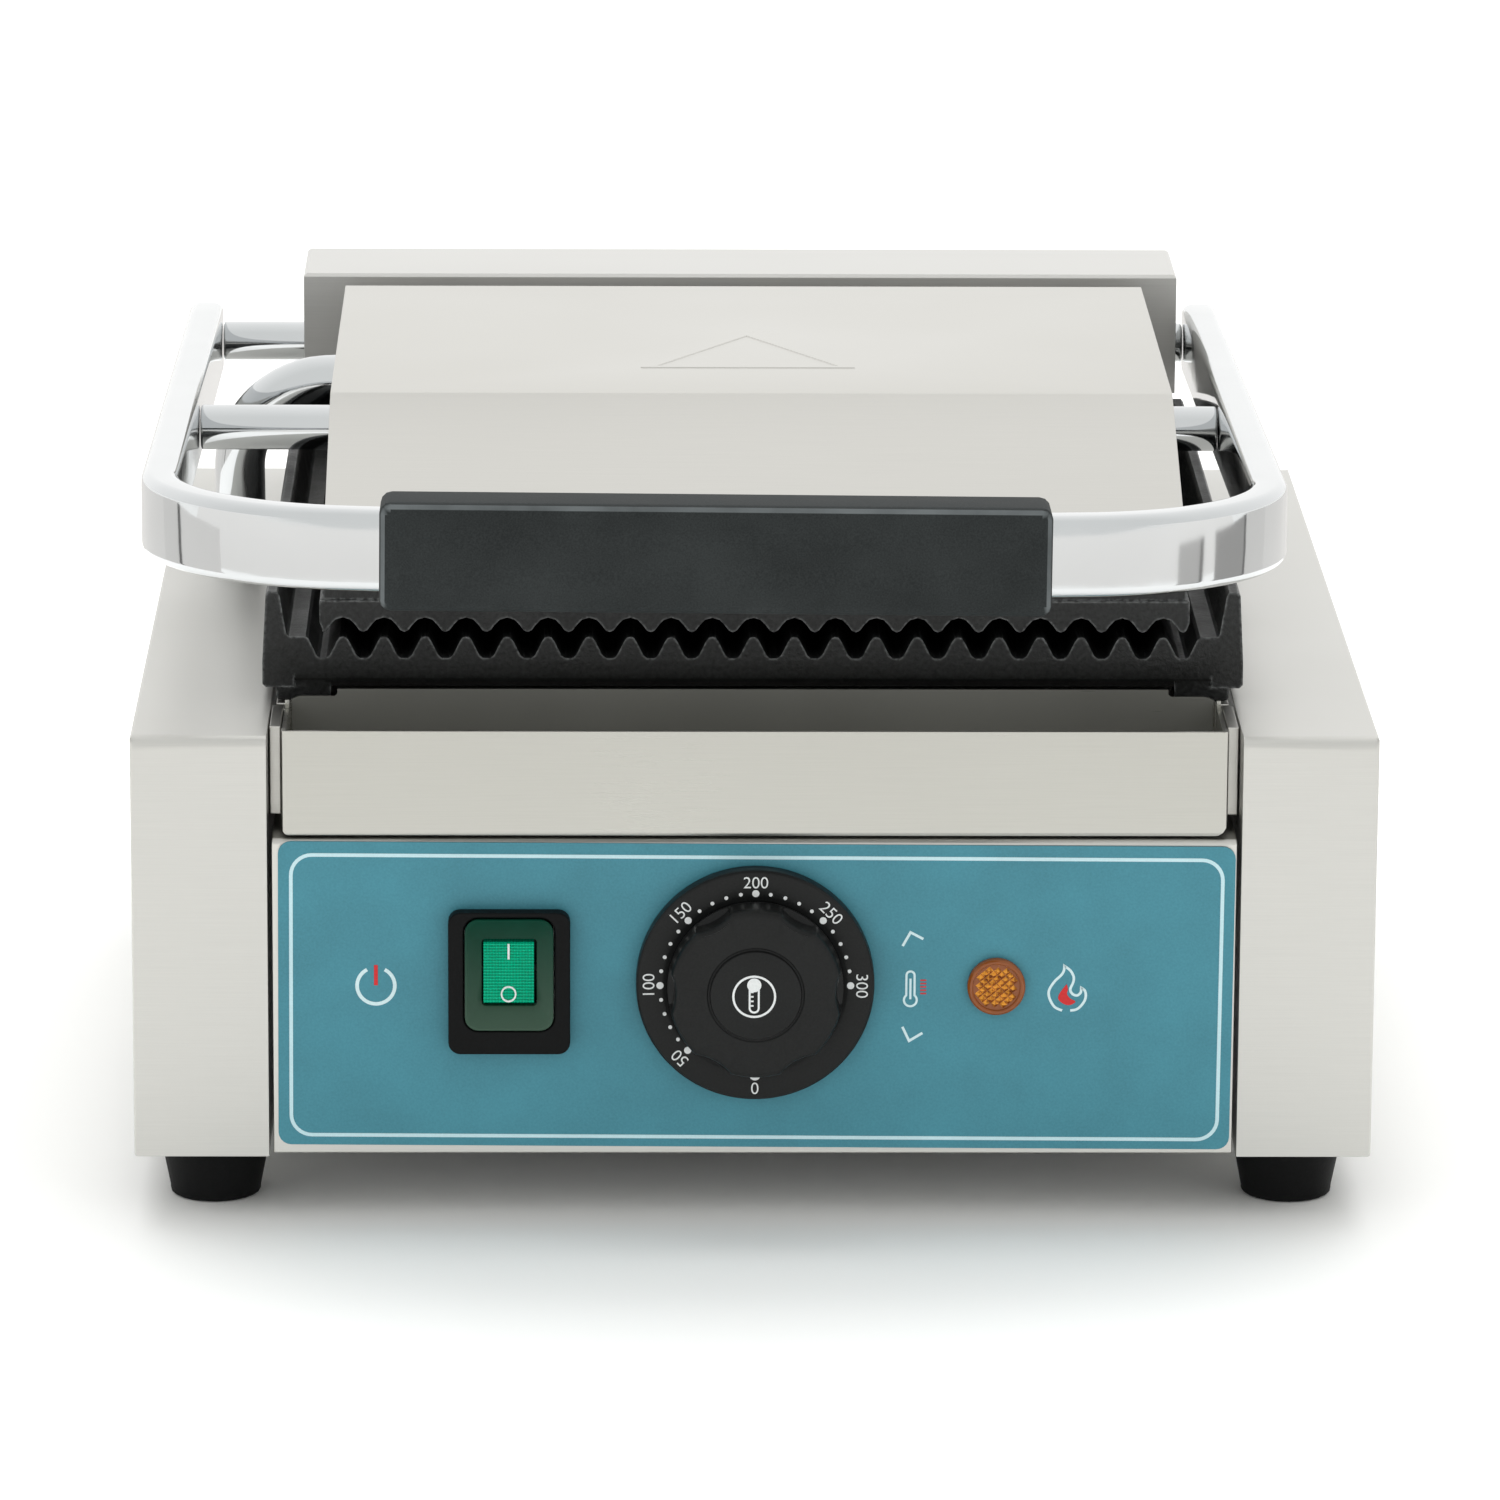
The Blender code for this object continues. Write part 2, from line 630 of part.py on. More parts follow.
def hinge_tower():
    """The sheet box at the back that covers the hinge shaft and its springs, open underneath."""
    bm = bmesh.new()
    add_box(bm, (-TOWER_X, TOWER_X), (TOWER_Y0, BODY_D), (TOWER_Z0, TOWER_Z1))
    bevel(bm, lambda a, b: a.z > 174 and b.z > 174, 0.8, 1)
    tower = place("hinge_tower", bm, STEEL)
    inside = (-TOWER_X + SHEET, TOWER_X - SHEET), (TOWER_Y0 + SHEET, BODY_D - SHEET)
    cut(tower, box("tower_room", *inside, (TOWER_Z0 - 5, TOWER_Z1 - SHEET)))
    cut(tower, prism("tower_shaft_cut", circle(HINGE_Y, HINGE_Z, SHAFT_R + 0.5, 24), "X", -130, 130))


def hinge_bracket(name, side):
    """A thick bracket with a bearing for the hinge shaft."""
    low, high = sorted((side * 77, side * 81))
    bm = bmesh.new()
    add_box(bm, (low, high), (259, 286), (DECK_TOP + 0.2, 171))
    bracket = place(name, bm, ZINC)
    joined = bmesh.new()
    foot_low, foot_high = sorted((side * 66, side * 80))
    add_box(joined, (foot_low, foot_high), (259, 286), (DECK_TOP + 0.2, DECK_TOP + 4.2))
    cut(bracket, place(name + "_foot", joined, None), "UNION")
    boss = prism(name + "_boss", circle(HINGE_Y, HINGE_Z, 9, 24), "X", *sorted((side * 74, side * 84)))
    cut(bracket, boss, "UNION")
    cut(bracket, prism(name + "_bore", circle(HINGE_Y, HINGE_Z, SHAFT_R + 0.15, 24), "X", -130, 130))


def hinge_post(name, side):
    """A sheet sleeve round each bracket, from the deck up to the tower."""
    low, high = sorted((side * 63, side * 97))
    bm = bmesh.new()
    add_box(bm, (low, high), (257.0, 289.0), (DECK_TOP + 0.3, TOWER_Z0 - 0.3))
    bevel(bm, lambda a, b: abs(a.z - b.z) > 10, 1.0, 1)
    post = place(name, bm, STEEL)
    room = (low + SHEET, high - SHEET), (257.0 + SHEET, 289.0 - SHEET), (100, 160)
    cut(post, box(name + "_room", *room))


def torsion_spring(name, side):
    """A counterbalance spring coiled round the hinge shaft."""
    turns, steps = 7, 14
    points = []
    for k in range(turns * steps + 1):
        angle = 2 * math.pi * k / steps
        x = side * (45 + 27.0 * k / (turns * steps))
        points.append((x, HINGE_Y + 8.4 * math.cos(angle), HINGE_Z + 8.4 * math.sin(angle)))
    tube(name, points, 1.25, SPRING_STEEL, 6, (1, 0, 0))


hinge_tower()
for suffix, sign in (("left", -1), ("right", 1)):
    hinge_bracket(f"hinge_bracket_{suffix}", sign)
    hinge_post(f"hinge_post_{suffix}", sign)
    torsion_spring(f"torsion_spring_{suffix}", sign)


# ---- Handle --------------------------------------------------------------------------------------


def bar_path():
    """The handle's centre line in its own plane, as (x, reach, direction) from one end to the other."""
    turn = math.pi / 2 - BAR_BOW
    half = BAR_HALF - BAR_CORNER * (1 - math.cos(turn))
    bow_radius = half / math.sin(BAR_BOW)
    bow = bow_radius * (1 - math.cos(BAR_BOW))
    start = BAR_REACH - bow - BAR_CORNER * math.sin(turn)
    points = [(BAR_HALF, reach, 0.0) for reach in (0.0, start / 3, 2 * start / 3, start)]
    for k in range(1, 11):
        angle = turn * k / 10
        x = BAR_HALF - BAR_CORNER * (1 - math.cos(angle))
        points.append((x, start + BAR_CORNER * math.sin(angle), angle))
    for k in range(1, 5):
        angle = turn + BAR_BOW * k / 4
        reach = BAR_REACH - bow_radius * (1 - math.sin(angle))
        points.append((bow_radius * math.cos(angle), reach, angle))
    mirrored = [(-x, reach, math.pi - angle) for x, reach, angle in reversed(points[:-1])]
    return points + mirrored


def bar_frame(x, reach, angle):
    """A point of the handle in the object, with the directions across and up its section."""
    ahead = Vector((0, -math.cos(BAR_TILT), math.sin(BAR_TILT)))
    up = Vector((0, math.sin(BAR_TILT), math.cos(BAR_TILT)))
    position = Vector((BAR_X + x, HINGE_Y, HINGE_Z + BAR_RISE)) + ahead * reach
    position.z -= BAR_TWIST * x * reach / BAR_REACH
    across = Vector((math.cos(angle), 0, 0)) + ahead * math.sin(angle)
    return position, across, up


def bar_section(height, thickness):
    """A flat bar's section with rounded corners."""
    radius = min(2.4, 0.45 * thickness, 0.45 * height)
    return rounded(0, 0, thickness / 2, height / 2, radius, 3)


def add_bar(bm, grow=0.0, ends=True):
    path, sections = [], []
    for x, reach, angle in bar_path():
        path.append(bar_frame(x, reach, angle))
        sections.append(bar_section(BAR_H + 2 * grow, BAR_T + 2 * grow))
    if ends:
        for back in (3.0, 5.5, 7.3, 8.2):
            share = math.sqrt(1 - (back / 8.6) ** 2)
            section = bar_section(max(BAR_H * share, BAR_T * 0.8), BAR_T * (0.7 + 0.3 * share))
            path.insert(0, bar_frame(BAR_HALF, -back, 0.0))
            path.append(bar_frame(-BAR_HALF, -back, math.pi))
            sections.insert(0, section)
            sections.append(section)
    add_sweep(bm, path, sections)


def handle():
    pivot = (BAR_X, HINGE_Y, HINGE_Z)
    bm = bmesh.new()
    add_bar(bm)
    place("handle_bar", bm, CHROME, pivot, smooth=50.0)
    ahead = Vector((0, -math.cos(BAR_TILT), math.sin(BAR_TILT)))
    middle = Vector((-9.8, HINGE_Y, HINGE_Z + BAR_RISE)) + ahead * (BAR_REACH - 1.7)
    bm = bmesh.new()
    add_box(bm, (-76.2, 76.2), (-9.5, 9.5), (-12.5, 12.5))
    bevel(bm, lambda a, b: True, 2.6, 3)
    bmesh.ops.rotate(bm, verts=bm.verts, matrix=Matrix.Rotation(BAR_TWIST, 3, "Y"))
    bmesh.ops.rotate(bm, verts=bm.verts, matrix=Matrix.Rotation(-BAR_TILT, 3, "X"))
    bmesh.ops.translate(bm, verts=bm.verts, vec=middle)
    grip = place("handle_grip", bm, GRIP, pivot)
    channel = bmesh.new()
    add_bar(channel, 0.3, False)
    cut(grip, place("grip_channel", channel, None))


def rod(name, radius, x0, x1, y, z):
    """A plain round bar with chamfered ends."""
    profile = [(0, x0), (radius - 0.6, x0), (radius, x0 + 0.6)]
    profile += [(radius, x1 - 0.6), (radius - 0.6, x1), (0, x1)]
    lathe(name, profile, (0, y, z), "X", CHROME, 24, False, (0, y, z))


handle()
ARM_LEFT = BAR_X - BAR_HALF + BAR_T / 2
ARM_RIGHT = BAR_X + BAR_HALF - BAR_T / 2
rod("hinge_shaft", SHAFT_R, ARM_LEFT + 0.2, ARM_RIGHT - 0.2, HINGE_Y, HINGE_Z)
rod("cross_rod", ROD_R, ARM_LEFT + 0.2, ARM_RIGHT - 0.2, ROD_Y, ROD_Z)
for suffix, sign in (("left", -1), ("right", 1)):
    ring = [(SHAFT_R + 0.15, 38), (10.0, 38), (10.0, 43), (SHAFT_R + 0.15, 43)]
    ring = [(r, sign * x) for r, x in ring]
    name = f"spring_collar_{suffix}"
    lathe(name, ring, (0, HINGE_Y, HINGE_Z), "X", ZINC, 24, True, (0, HINGE_Y, HINGE_Z))


# ---- Lid -----------------------------------------------------------------------------------------

LID_PIVOT = (LID_X, ROD_Y, ROD_Z)
LID_LEFT = LID_X - LID_HALF
LID_RIGHT = LID_X + LID_HALF
CONDUIT_EXIT_Y = (
    HINGE_Y
    - CONDUIT_ARC * math.cos(CONDUIT_TOP_ANGLE)
    - CONDUIT_BEND * math.sin(CONDUIT_TOP_ANGLE)
)
CONDUIT_EXIT_Z = (
    HINGE_Z
    - CONDUIT_ARC * math.sin(CONDUIT_TOP_ANGLE)
    + CONDUIT_BEND * math.cos(CONDUIT_TOP_ANGLE)
)


def lid_cover():
    """The folded lid: flat on top, sloping down to the front, open underneath."""
    outline = [
        (LID_Y0, LID_RIM),
        (LID_Y0, LID_NOSE),
        (LID_FOLD_Y, LID_TOP),
        (LID_Y1, LID_TOP),
        (LID_Y1, LID_RIM),
    ]
    cover = prism("lid_cover", outline, "X", LID_LEFT, LID_RIGHT, STEEL, LID_PIVOT)
    inside = [
        (LID_Y0 + SHEET, LID_RIM - 5),
        (LID_Y0 + SHEET, LID_NOSE - 0.8),
        (LID_FOLD_Y + 0.2, LID_TOP - SHEET),
        (LID_Y1 - SHEET, LID_TOP - SHEET),
        (LID_Y1 - SHEET, LID_RIM - 5),
    ]
    cut(cover, prism("lid_room", inside, "X", LID_LEFT + SHEET, LID_RIGHT - SHEET))
    cut(cover, prism("lid_rod_cut", circle(ROD_Y, ROD_Z, ROD_R + 0.4, 24), "X", -130, 130))
    hole = circle(CONDUIT_EXIT_Y, CONDUIT_EXIT_Z, CONDUIT_R + 0.5, 24)
    cut(cover, prism("lid_conduit_cut", hole, "X", -110, -90))
    emblem = bmesh.new()
    add_prism(emblem, [(-26.2, 141.4), (26.4, 141.4), (0.4, 183.8)], "Z", LID_TOP - 0.6, LID_TOP + 0.18)
    rib = place("lid_emblem", emblem, None)
    hollow = bmesh.new()
    add_prism(hollow, [(-22.2, 143.2), (22.4, 143.2), (0.4, 179.8)], "Z", LID_TOP - 2, LID_TOP + 2)
    cut(rib, place("lid_emblem_hollow", hollow, None))
    cut(cover, rib, "UNION")


def upper_plate():
    """The cast upper plate, with ridges half a step away from the lower ones."""
    left, right = LID_X - 102.6, LID_X + 102.1
    first = -PITCH * RIDGES / 2
    wave = UPPER_ARCH - UPPER_TIP
    below = [(left, UPPER_TIP + 2.4), (left + 0.7, UPPER_TIP + 0.6), (first, UPPER_TIP)]
    for k in range(RIDGES):
        tip = first + k * PITCH
        for part, rise in ((0.1, 0.12), (0.2, 0.5), (0.32, 0.85), (0.5, 1.0)):
            below.append((tip + part * PITCH, UPPER_TIP + rise * wave))
        for part, rise in ((0.68, 0.85), (0.8, 0.5), (0.9, 0.12), (1.0, 0.0)):
            below.append((tip + part * PITCH, UPPER_TIP + rise * wave))
    below += [(right - 0.7, UPPER_TIP + 0.6)]
    top = [
        (right, UPPER_TIP + 2.4),
        (right, UPPER_TOP - 3.2),
        (right - 0.8, UPPER_TOP - 2.8),
        (right - 0.8, UPPER_TOP),
        (left + 0.8, UPPER_TOP),
        (left + 0.8, UPPER_TOP - 2.8),
        (left, UPPER_TOP - 3.2),
    ]
    bm = bmesh.new()
    add_prism(bm, below + top, "Y", PLATE_Y0, 241.0)
    plate = place("upper_plate", bm, CAST, LID_PIVOT, smooth=24.0)
    step = box("upper_step", (-120, 120), (PLATE_Y0 - 2, PLATE_Y0 + 0.7), (UPPER_TOP - 3.0, 150))
    cut(plate, step)


def lid_bracket(name, side):
    """An upright ear on the upper plate that hangs on the cross rod."""
    low, high = sorted((side * 90, side * 94))
    outline = [(ROD_Y - 14, UPPER_TOP + 0.3), (ROD_Y - 14, UPPER_TOP + 4.3)]
    for k in range(9):
        angle = math.radians(150 - 15 * k)
        outline.append((ROD_Y + 10.5 * math.cos(angle), ROD_Z + 10.5 * math.sin(angle)))
    outline += [(ROD_Y + 14, UPPER_TOP + 4.3), (ROD_Y + 14, UPPER_TOP + 0.3)]
    bracket = prism(name, outline, "X", LID_X + low, LID_X + high, ZINC, LID_PIVOT)
    cut(bracket, prism(name + "_bore", circle(ROD_Y, ROD_Z, ROD_R + 0.15, 24), "X", -130, 130))


def wire_conduit():
    """The bent tube that carries the upper element's wires from the lid down into the left column."""
    points = []
    steps = 14
    for k in range(steps + 1):
        angle = CONDUIT_END_ANGLE + (CONDUIT_TOP_ANGLE - CONDUIT_END_ANGLE) * k / steps
        y = HINGE_Y - CONDUIT_ARC * math.cos(angle)
        z = HINGE_Z - CONDUIT_ARC * math.sin(angle)
        points.append(Vector((CONDUIT_X, y, z)))
    rise = Vector((0, -math.sin(CONDUIT_TOP_ANGLE), math.cos(CONDUIT_TOP_ANGLE)))
    right = Vector((1, 0, 0))
    centre = points[-1] + right * CONDUIT_BEND
    points += arc_points(centre, -right * CONDUIT_BEND, rise * CONDUIT_BEND, 8)[1:]
    points.append(Vector((LID_LEFT + 9.0, CONDUIT_EXIT_Y, CONDUIT_EXIT_Z)))
    tube("wire_conduit", points, CONDUIT_R, CHROME, 16, (1, 0, 0), LID_PIVOT)
    nut = [(CONDUIT_R + 0.5, 0), (10.5, 0), (10.5, 4.5), (CONDUIT_R + 0.5, 4.5)]
    centre = (LID_LEFT + SHEET + 0.2, CONDUIT_EXIT_Y, CONDUIT_EXIT_Z)
    lathe("conduit_locknut", nut, centre, "X", ZINC, 12, True, LID_PIVOT)


def conduit_grommet():
    """The rubber lining of the slot that the conduit slides through."""
    bm = bmesh.new()
    flange = rounded(CONDUIT_X, SLOT_Y, SLOT_R + 3.2, SLOT_HALF + 3.2, SLOT_R + 3.0, 6)
    add_prism(bm, flange, "Z", COLUMN_TOP + 0.1, COLUMN_TOP + 1.3)
    grommet = place("conduit_grommet", bm, RUBBER)
    neck = rounded(CONDUIT_X, SLOT_Y, SLOT_R + 1.3, SLOT_HALF + 1.3, SLOT_R + 1.2, 6)
    cut(grommet, prism("grommet_neck", neck, "Z", COLUMN_TOP - 2.4, COLUMN_TOP + 0.8), "UNION")
    slot_outline = rounded(CONDUIT_X, SLOT_Y, SLOT_R, SLOT_HALF, SLOT_R - 0.1, 6)
    cut(grommet, prism("grommet_slot", slot_outline, "Z", 105, 125))


lid_cover()
upper_plate()
for suffix, sign in (("left", -1), ("right", 1)):
    lid_bracket(f"lid_bracket_{suffix}", sign)
wire_conduit()
conduit_grommet()
UPPER_ELEMENT_Z = UPPER_TOP + 0.4 + 3.2
upper_path = [Vector((LID_X, 0, 0)) + p for p in element_path(72, 72, 222, UPPER_ELEMENT_Z, -14)]
tube("upper_element", upper_path, 3.2, SPRING_STEEL, 8, (1, 0, 0), LID_PIVOT)
upper_holes = [(LID_X - 72.0, 221.0, 6.0), (LID_X + 72.0, 221.0, 6.0)]
upper_box = (LID_X - 87, LID_X + 87), (66.5, 236), (UPPER_TOP + 0.3, 152.4)
heat_shield("upper_heat_shield", *upper_box, False, upper_holes, LID_PIVOT)


# ---- Controls ------------------------------------------------------------------------------------


def dial_ring():
    """The fixed ring that carries the temperature scale."""
    profile = [
        (5.7, -0.3),
        (27.8, -0.3),
        (27.8, -4.2),
        (27.2, -4.9),
        (21.6, -4.6),
        (20.9, -4.4),
        (5.7, -4.4),
    ]
    centre = (KNOB_X, PANEL_FACE, KNOB_Z)
    lathe("dial_ring", profile, centre, "Y", BLACK, 48, True)


def thermostat():
    """The knob's cap and shaft, which turn, and the body behind the panel."""
    centre = (KNOB_X, PANEL_FACE, KNOB_Z)
    cap = [
        (3.3, -5.2),
        (20.2, -5.2),
        (20.5, -5.6),
        (20.2, -12.2),
        (19.3, -13.2),
        (11.4, -13.2),
        (10.9, -13.8),
        (0.0, -13.8),
        (0.0, -10.8),
        (3.3, -10.8),
    ]
    knob = bmesh.new()
    add_lathe(knob, cap, centre, "Y", 48, True)
    knob = place("thermostat_knob", knob, BLACK, centre)
    scallops = bmesh.new()
    for k in range(6):
        angle = math.radians(30 + 60 * k)
        x = KNOB_X + 31.6 * math.sin(angle)
        z = KNOB_Z + 31.6 * math.cos(angle)
        add_prism(scallops, circle(x, z, 12.6, 32), "Y", -40, PANEL_FACE - 7.0)
    cut(knob, place("knob_scallops", scallops, None))
    shaft = [(0, -10.4), (2.4, -10.4), (3.0, -9.8), (3.0, 16.0), (0, 16.0)]
    lathe("thermostat_shaft", shaft, centre, "Y", ZINC, 16, False, centre)
    body = box("thermostat_body", (KNOB_X - 22, KNOB_X + 22), (6, 34), (40, 74), CERAMIC, 1.5, 1)
    collar = prism("thermostat_collar", circle(KNOB_X, KNOB_Z, 4.9, 24), "Y", PANEL_FACE, 8)
    cut(body, collar, "UNION")
    cut(body, prism("thermostat_bore", circle(KNOB_X, KNOB_Z, 3.2, 24), "Y", -5, 16))
    route = [
        (14, 20, 74.4),
        (14, 20, 79),
        (14.5, 22, 83),
        (17, 28, 85.5),
        (30, 58, 86),
        (47, 84, 87),
        (51.5, 92, 92),
        (52, 94.5, 100),
        (52, 95.6, 106),
        (52, 97.5, 112),
        (52, 101, 115),
        (52, 106, 115.6),
        (52, 108, 115.6),
        (52, 158, 115.6),
        (52, 160, 115.6),
    ]
    radii = [1.0] * 11 + [1.4, 3.0, 3.0, 1.4]
    tube("thermostat_bulb", route, radii, ZINC, 8, (1, 0, 0))


def power_switch():
    """A rocker inside a green funnel, in a raised black frame; the switch body is behind it."""
    bezel_outline = rounded(SWITCH_X, SWITCH_Z + 0.2, 14.2, 17.1, 2.8, 5)
    bezel = prism("switch_bezel", bezel_outline, "Y", -5.0, -0.9, RUBBER)
    opening = rounded(SWITCH_X, ROCKER_Z, 10.6, 13.7, 3.4, 5)
    cut(bezel, prism("bezel_opening", opening, "Y", -8, 3))
    cover_outline = rounded(SWITCH_X, ROCKER_Z, 10.3, 13.4, 3.2, 5)
    cover = prism("rocker_cover", cover_outline, "Y", -5.4, -0.9, GREEN)
    funnel = bmesh.new()
    sections = []
    path = []
    for y, half_x, half_z, radius in (
        (-6.4, 11.0, 13.9, 3.4),
        (-5.4, 9.7, 12.7, 3.0),
        (-2.6, 6.35, 8.0, 0.8),
        (1.0, 6.35, 8.0, 0.8),
    ):
        path.append((Vector((SWITCH_X, y, ROCKER_Z)), Vector((1, 0, 0)), Vector((0, 0, 1))))
        sections.append(rounded(0, 0, half_x, half_z, radius, 3))
    add_sweep(funnel, path, sections)
    cut(cover, place("cover_funnel", funnel, None))
    pivot = (SWITCH_X, 2.0, ROCKER_Z)
    profile = [(-5.4, 6.9), (-4.9, 3.6), (-4.7, 0), (-4.9, -3.6), (-5.4, -7.4), (3.0, -7.2), (3.0, 7.2)]
    lean = math.radians(-5)
    outline = []
    for y, z in profile:
        turned_y = y * math.cos(lean) - z * math.sin(lean)
        turned_z = y * math.sin(lean) + z * math.cos(lean)
        outline.append((pivot[1] + turned_y, pivot[2] + turned_z))
    rocker = prism("rocker", outline, "X", SWITCH_X - 6.05, SWITCH_X + 5.75, GREEN, pivot)
    bore = prism("rocker_bore", circle(pivot[1], pivot[2], 1.5, 16), "X", SWITCH_X - 9, SWITCH_X + 9)
    cut(rocker, bore)
    holder = box(
        "switch_housing",
        (SWITCH_X - 10.2, SWITCH_X + 10.2),
        (-0.5, 24),
        (ROCKER_Z - 13.2, ROCKER_Z + 13.2),
        BLACK,
    )
    room = (SWITCH_X - 6.4, SWITCH_X + 6.4), (-3, 7), (ROCKER_Z - 9.0, ROCKER_Z + 9.0)
    cut(holder, box("switch_room", *room))
    pin = prism("rocker_pin", circle(pivot[1], pivot[2], 1.3, 16), "X", SWITCH_X - 8, SWITCH_X + 8)
    cut(holder, pin, "UNION")
    blades = bmesh.new()
    for x in (-5.5, 4.0):
        for z in (-7.0, 0.0, 7.0):
            low_x = SWITCH_X + x
            add_box(blades, (low_x, low_x + 1.0), (23, 32), (ROCKER_Z + z - 2.4, ROCKER_Z + z + 2.4))
    cut(holder, place("switch_blades", blades, None), "UNION")


def pilot_lamp():
    """The amber lens with its faceted middle, and the lamp's body behind the panel."""
    profile = [(0, 9.0), (5.5, 9.0), (5.5, -0.2), (6.8, -0.2)]
    profile += [(6.8, -1.6), (6.3, -2.3), (4.9, -2.3), (0, -2.9)]
    lathe("pilot_lens", profile, (LAMP_X, PANEL_FACE - 0.1, LAMP_Z), "Y", AMBER, 24)
    body = [(0, 9.5), (6.4, 9.5), (6.4, 24), (5.6, 26), (0, 26)]
    lathe("pilot_lamp_body", body, (LAMP_X, PANEL_FACE, LAMP_Z), "Y", BLACK, 16)


dial_ring()
thermostat()
power_switch()
pilot_lamp()
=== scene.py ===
"""Looks of a single contact grill: stainless body, cast plates, chrome handle, printed control panel."""

import json
import math

import bmesh
import bpy
from mathutils import Matrix, Vector

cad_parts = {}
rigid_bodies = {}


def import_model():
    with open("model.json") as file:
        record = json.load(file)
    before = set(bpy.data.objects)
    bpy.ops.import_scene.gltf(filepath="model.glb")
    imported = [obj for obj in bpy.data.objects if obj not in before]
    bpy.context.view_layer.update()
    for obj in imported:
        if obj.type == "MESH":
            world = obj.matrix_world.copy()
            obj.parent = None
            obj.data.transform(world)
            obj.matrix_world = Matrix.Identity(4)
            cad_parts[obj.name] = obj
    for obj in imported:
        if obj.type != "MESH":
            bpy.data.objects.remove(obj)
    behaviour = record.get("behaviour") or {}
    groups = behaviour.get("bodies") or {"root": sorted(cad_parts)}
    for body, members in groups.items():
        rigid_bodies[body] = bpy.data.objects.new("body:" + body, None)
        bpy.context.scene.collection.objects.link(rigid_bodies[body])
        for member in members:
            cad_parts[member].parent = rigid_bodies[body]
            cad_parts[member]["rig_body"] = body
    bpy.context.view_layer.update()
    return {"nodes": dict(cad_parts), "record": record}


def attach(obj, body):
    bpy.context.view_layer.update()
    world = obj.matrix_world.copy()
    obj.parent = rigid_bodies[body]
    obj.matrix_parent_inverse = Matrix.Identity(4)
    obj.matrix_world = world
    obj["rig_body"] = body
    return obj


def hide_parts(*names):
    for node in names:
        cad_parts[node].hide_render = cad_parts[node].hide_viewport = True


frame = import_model()
nodes = frame["nodes"]

# Places are in millimetres, X to the right, Z up from the floor and Y back from the body's front face.
MM = 0.001
FRONT_Y = -128.25
PANEL = -0.6  # Y of the printed panel's surface


def at(x, y, z):
    """The world place of a point given in millimetres."""
    return Vector((x, y + FRONT_Y, z)) * MM


# ---- Materials -----------------------------------------------------------------------------------


def add(tree, kind, inputs=(), **settings):
    """A new shader node; each input is a value, or a socket to link."""
    made = tree.nodes.new("ShaderNode" + kind)
    for key, value in settings.items():
        setattr(made, key, value)
    for key, value in dict(inputs).items():
        if isinstance(value, bpy.types.NodeSocket):
            tree.links.new(value, made.inputs[key])
        else:
            made.inputs[key].default_value = value
    return made


def blank(name):
    """A new material, its node tree and its Principled shader."""
    made = bpy.data.materials.new(name)
    made.use_nodes = True
    return made, made.node_tree, made.node_tree.nodes["Principled BSDF"]


def spot(tree):
    return add(tree, "TexCoord").outputs["Object"]


def noise(tree, where, scale, detail=2.0, roughness=0.5):
    """Noise with its own frequency along each axis, in cycles per metre."""
    if not isinstance(scale, tuple):
        scale = (scale, scale, scale)
    moved = add(tree, "Mapping", {"Vector": where, "Scale": scale}).outputs["Vector"]
    inputs = {"Vector": moved, "Scale": 1.0, "Detail": detail, "Roughness": roughness}
    return add(tree, "TexNoise", inputs).outputs["Fac"]


def calc(tree, operation, a, b=0.0, clamp=False):
    made = add(tree, "Math", {0: a, 1: b}, operation=operation, use_clamp=clamp)
    return made.outputs[0]


def product(tree, *factors):
    result = factors[0]
    for factor in factors[1:]:
        result = calc(tree, "MULTIPLY", result, factor)
    return result


def above(tree, value, limit):
    """1 where the value is over the limit, else 0."""
    return calc(tree, "GREATER_THAN", value, limit)


def below(tree, value, limit):
    return calc(tree, "LESS_THAN", value, limit)


def remap(tree, value, low, high, to_low, to_high):
    inputs = {"Value": value, "From Min": low, "From Max": high, "To Min": to_low, "To Max": to_high}
    return add(tree, "MapRange", inputs).outputs["Result"]


def xyz(tree, vector):
    return add(tree, "SeparateXYZ", {"Vector": vector}).outputs


def facing(tree):
    """The face's direction in the piece's own space, which stays the same when its body moves."""
    return add(tree, "TexCoord").outputs["Normal"]


def scaled(factor, colour):
    return tuple(factor * c for c in colour)


def blend_colour(tree, factor, first, second):
    made = add(tree, "Mix", data_type="RGBA")
    for index, value in ((0, factor), (6, first), (7, second)):
        if isinstance(value, bpy.types.NodeSocket):
            tree.links.new(value, made.inputs[index])
        elif index == 0:
            made.inputs[index].default_value = value
        else:
            made.inputs[index].default_value = (*value, 1.0)
    return made.outputs[2]


def set_bump(tree, shader, height, distance, strength):
    made = add(tree, "Bump", {"Height": height, "Distance": distance, "Strength": strength})
    tree.links.new(made.outputs["Normal"], shader.inputs["Normal"])


GRAIN_LONG, GRAIN_FINE = 45.0, 3400.0
# The tone painted inside the drip tray as the shade under the plate.
TRAY_SHADE_TONE = (0.23, 0.228, 0.208)


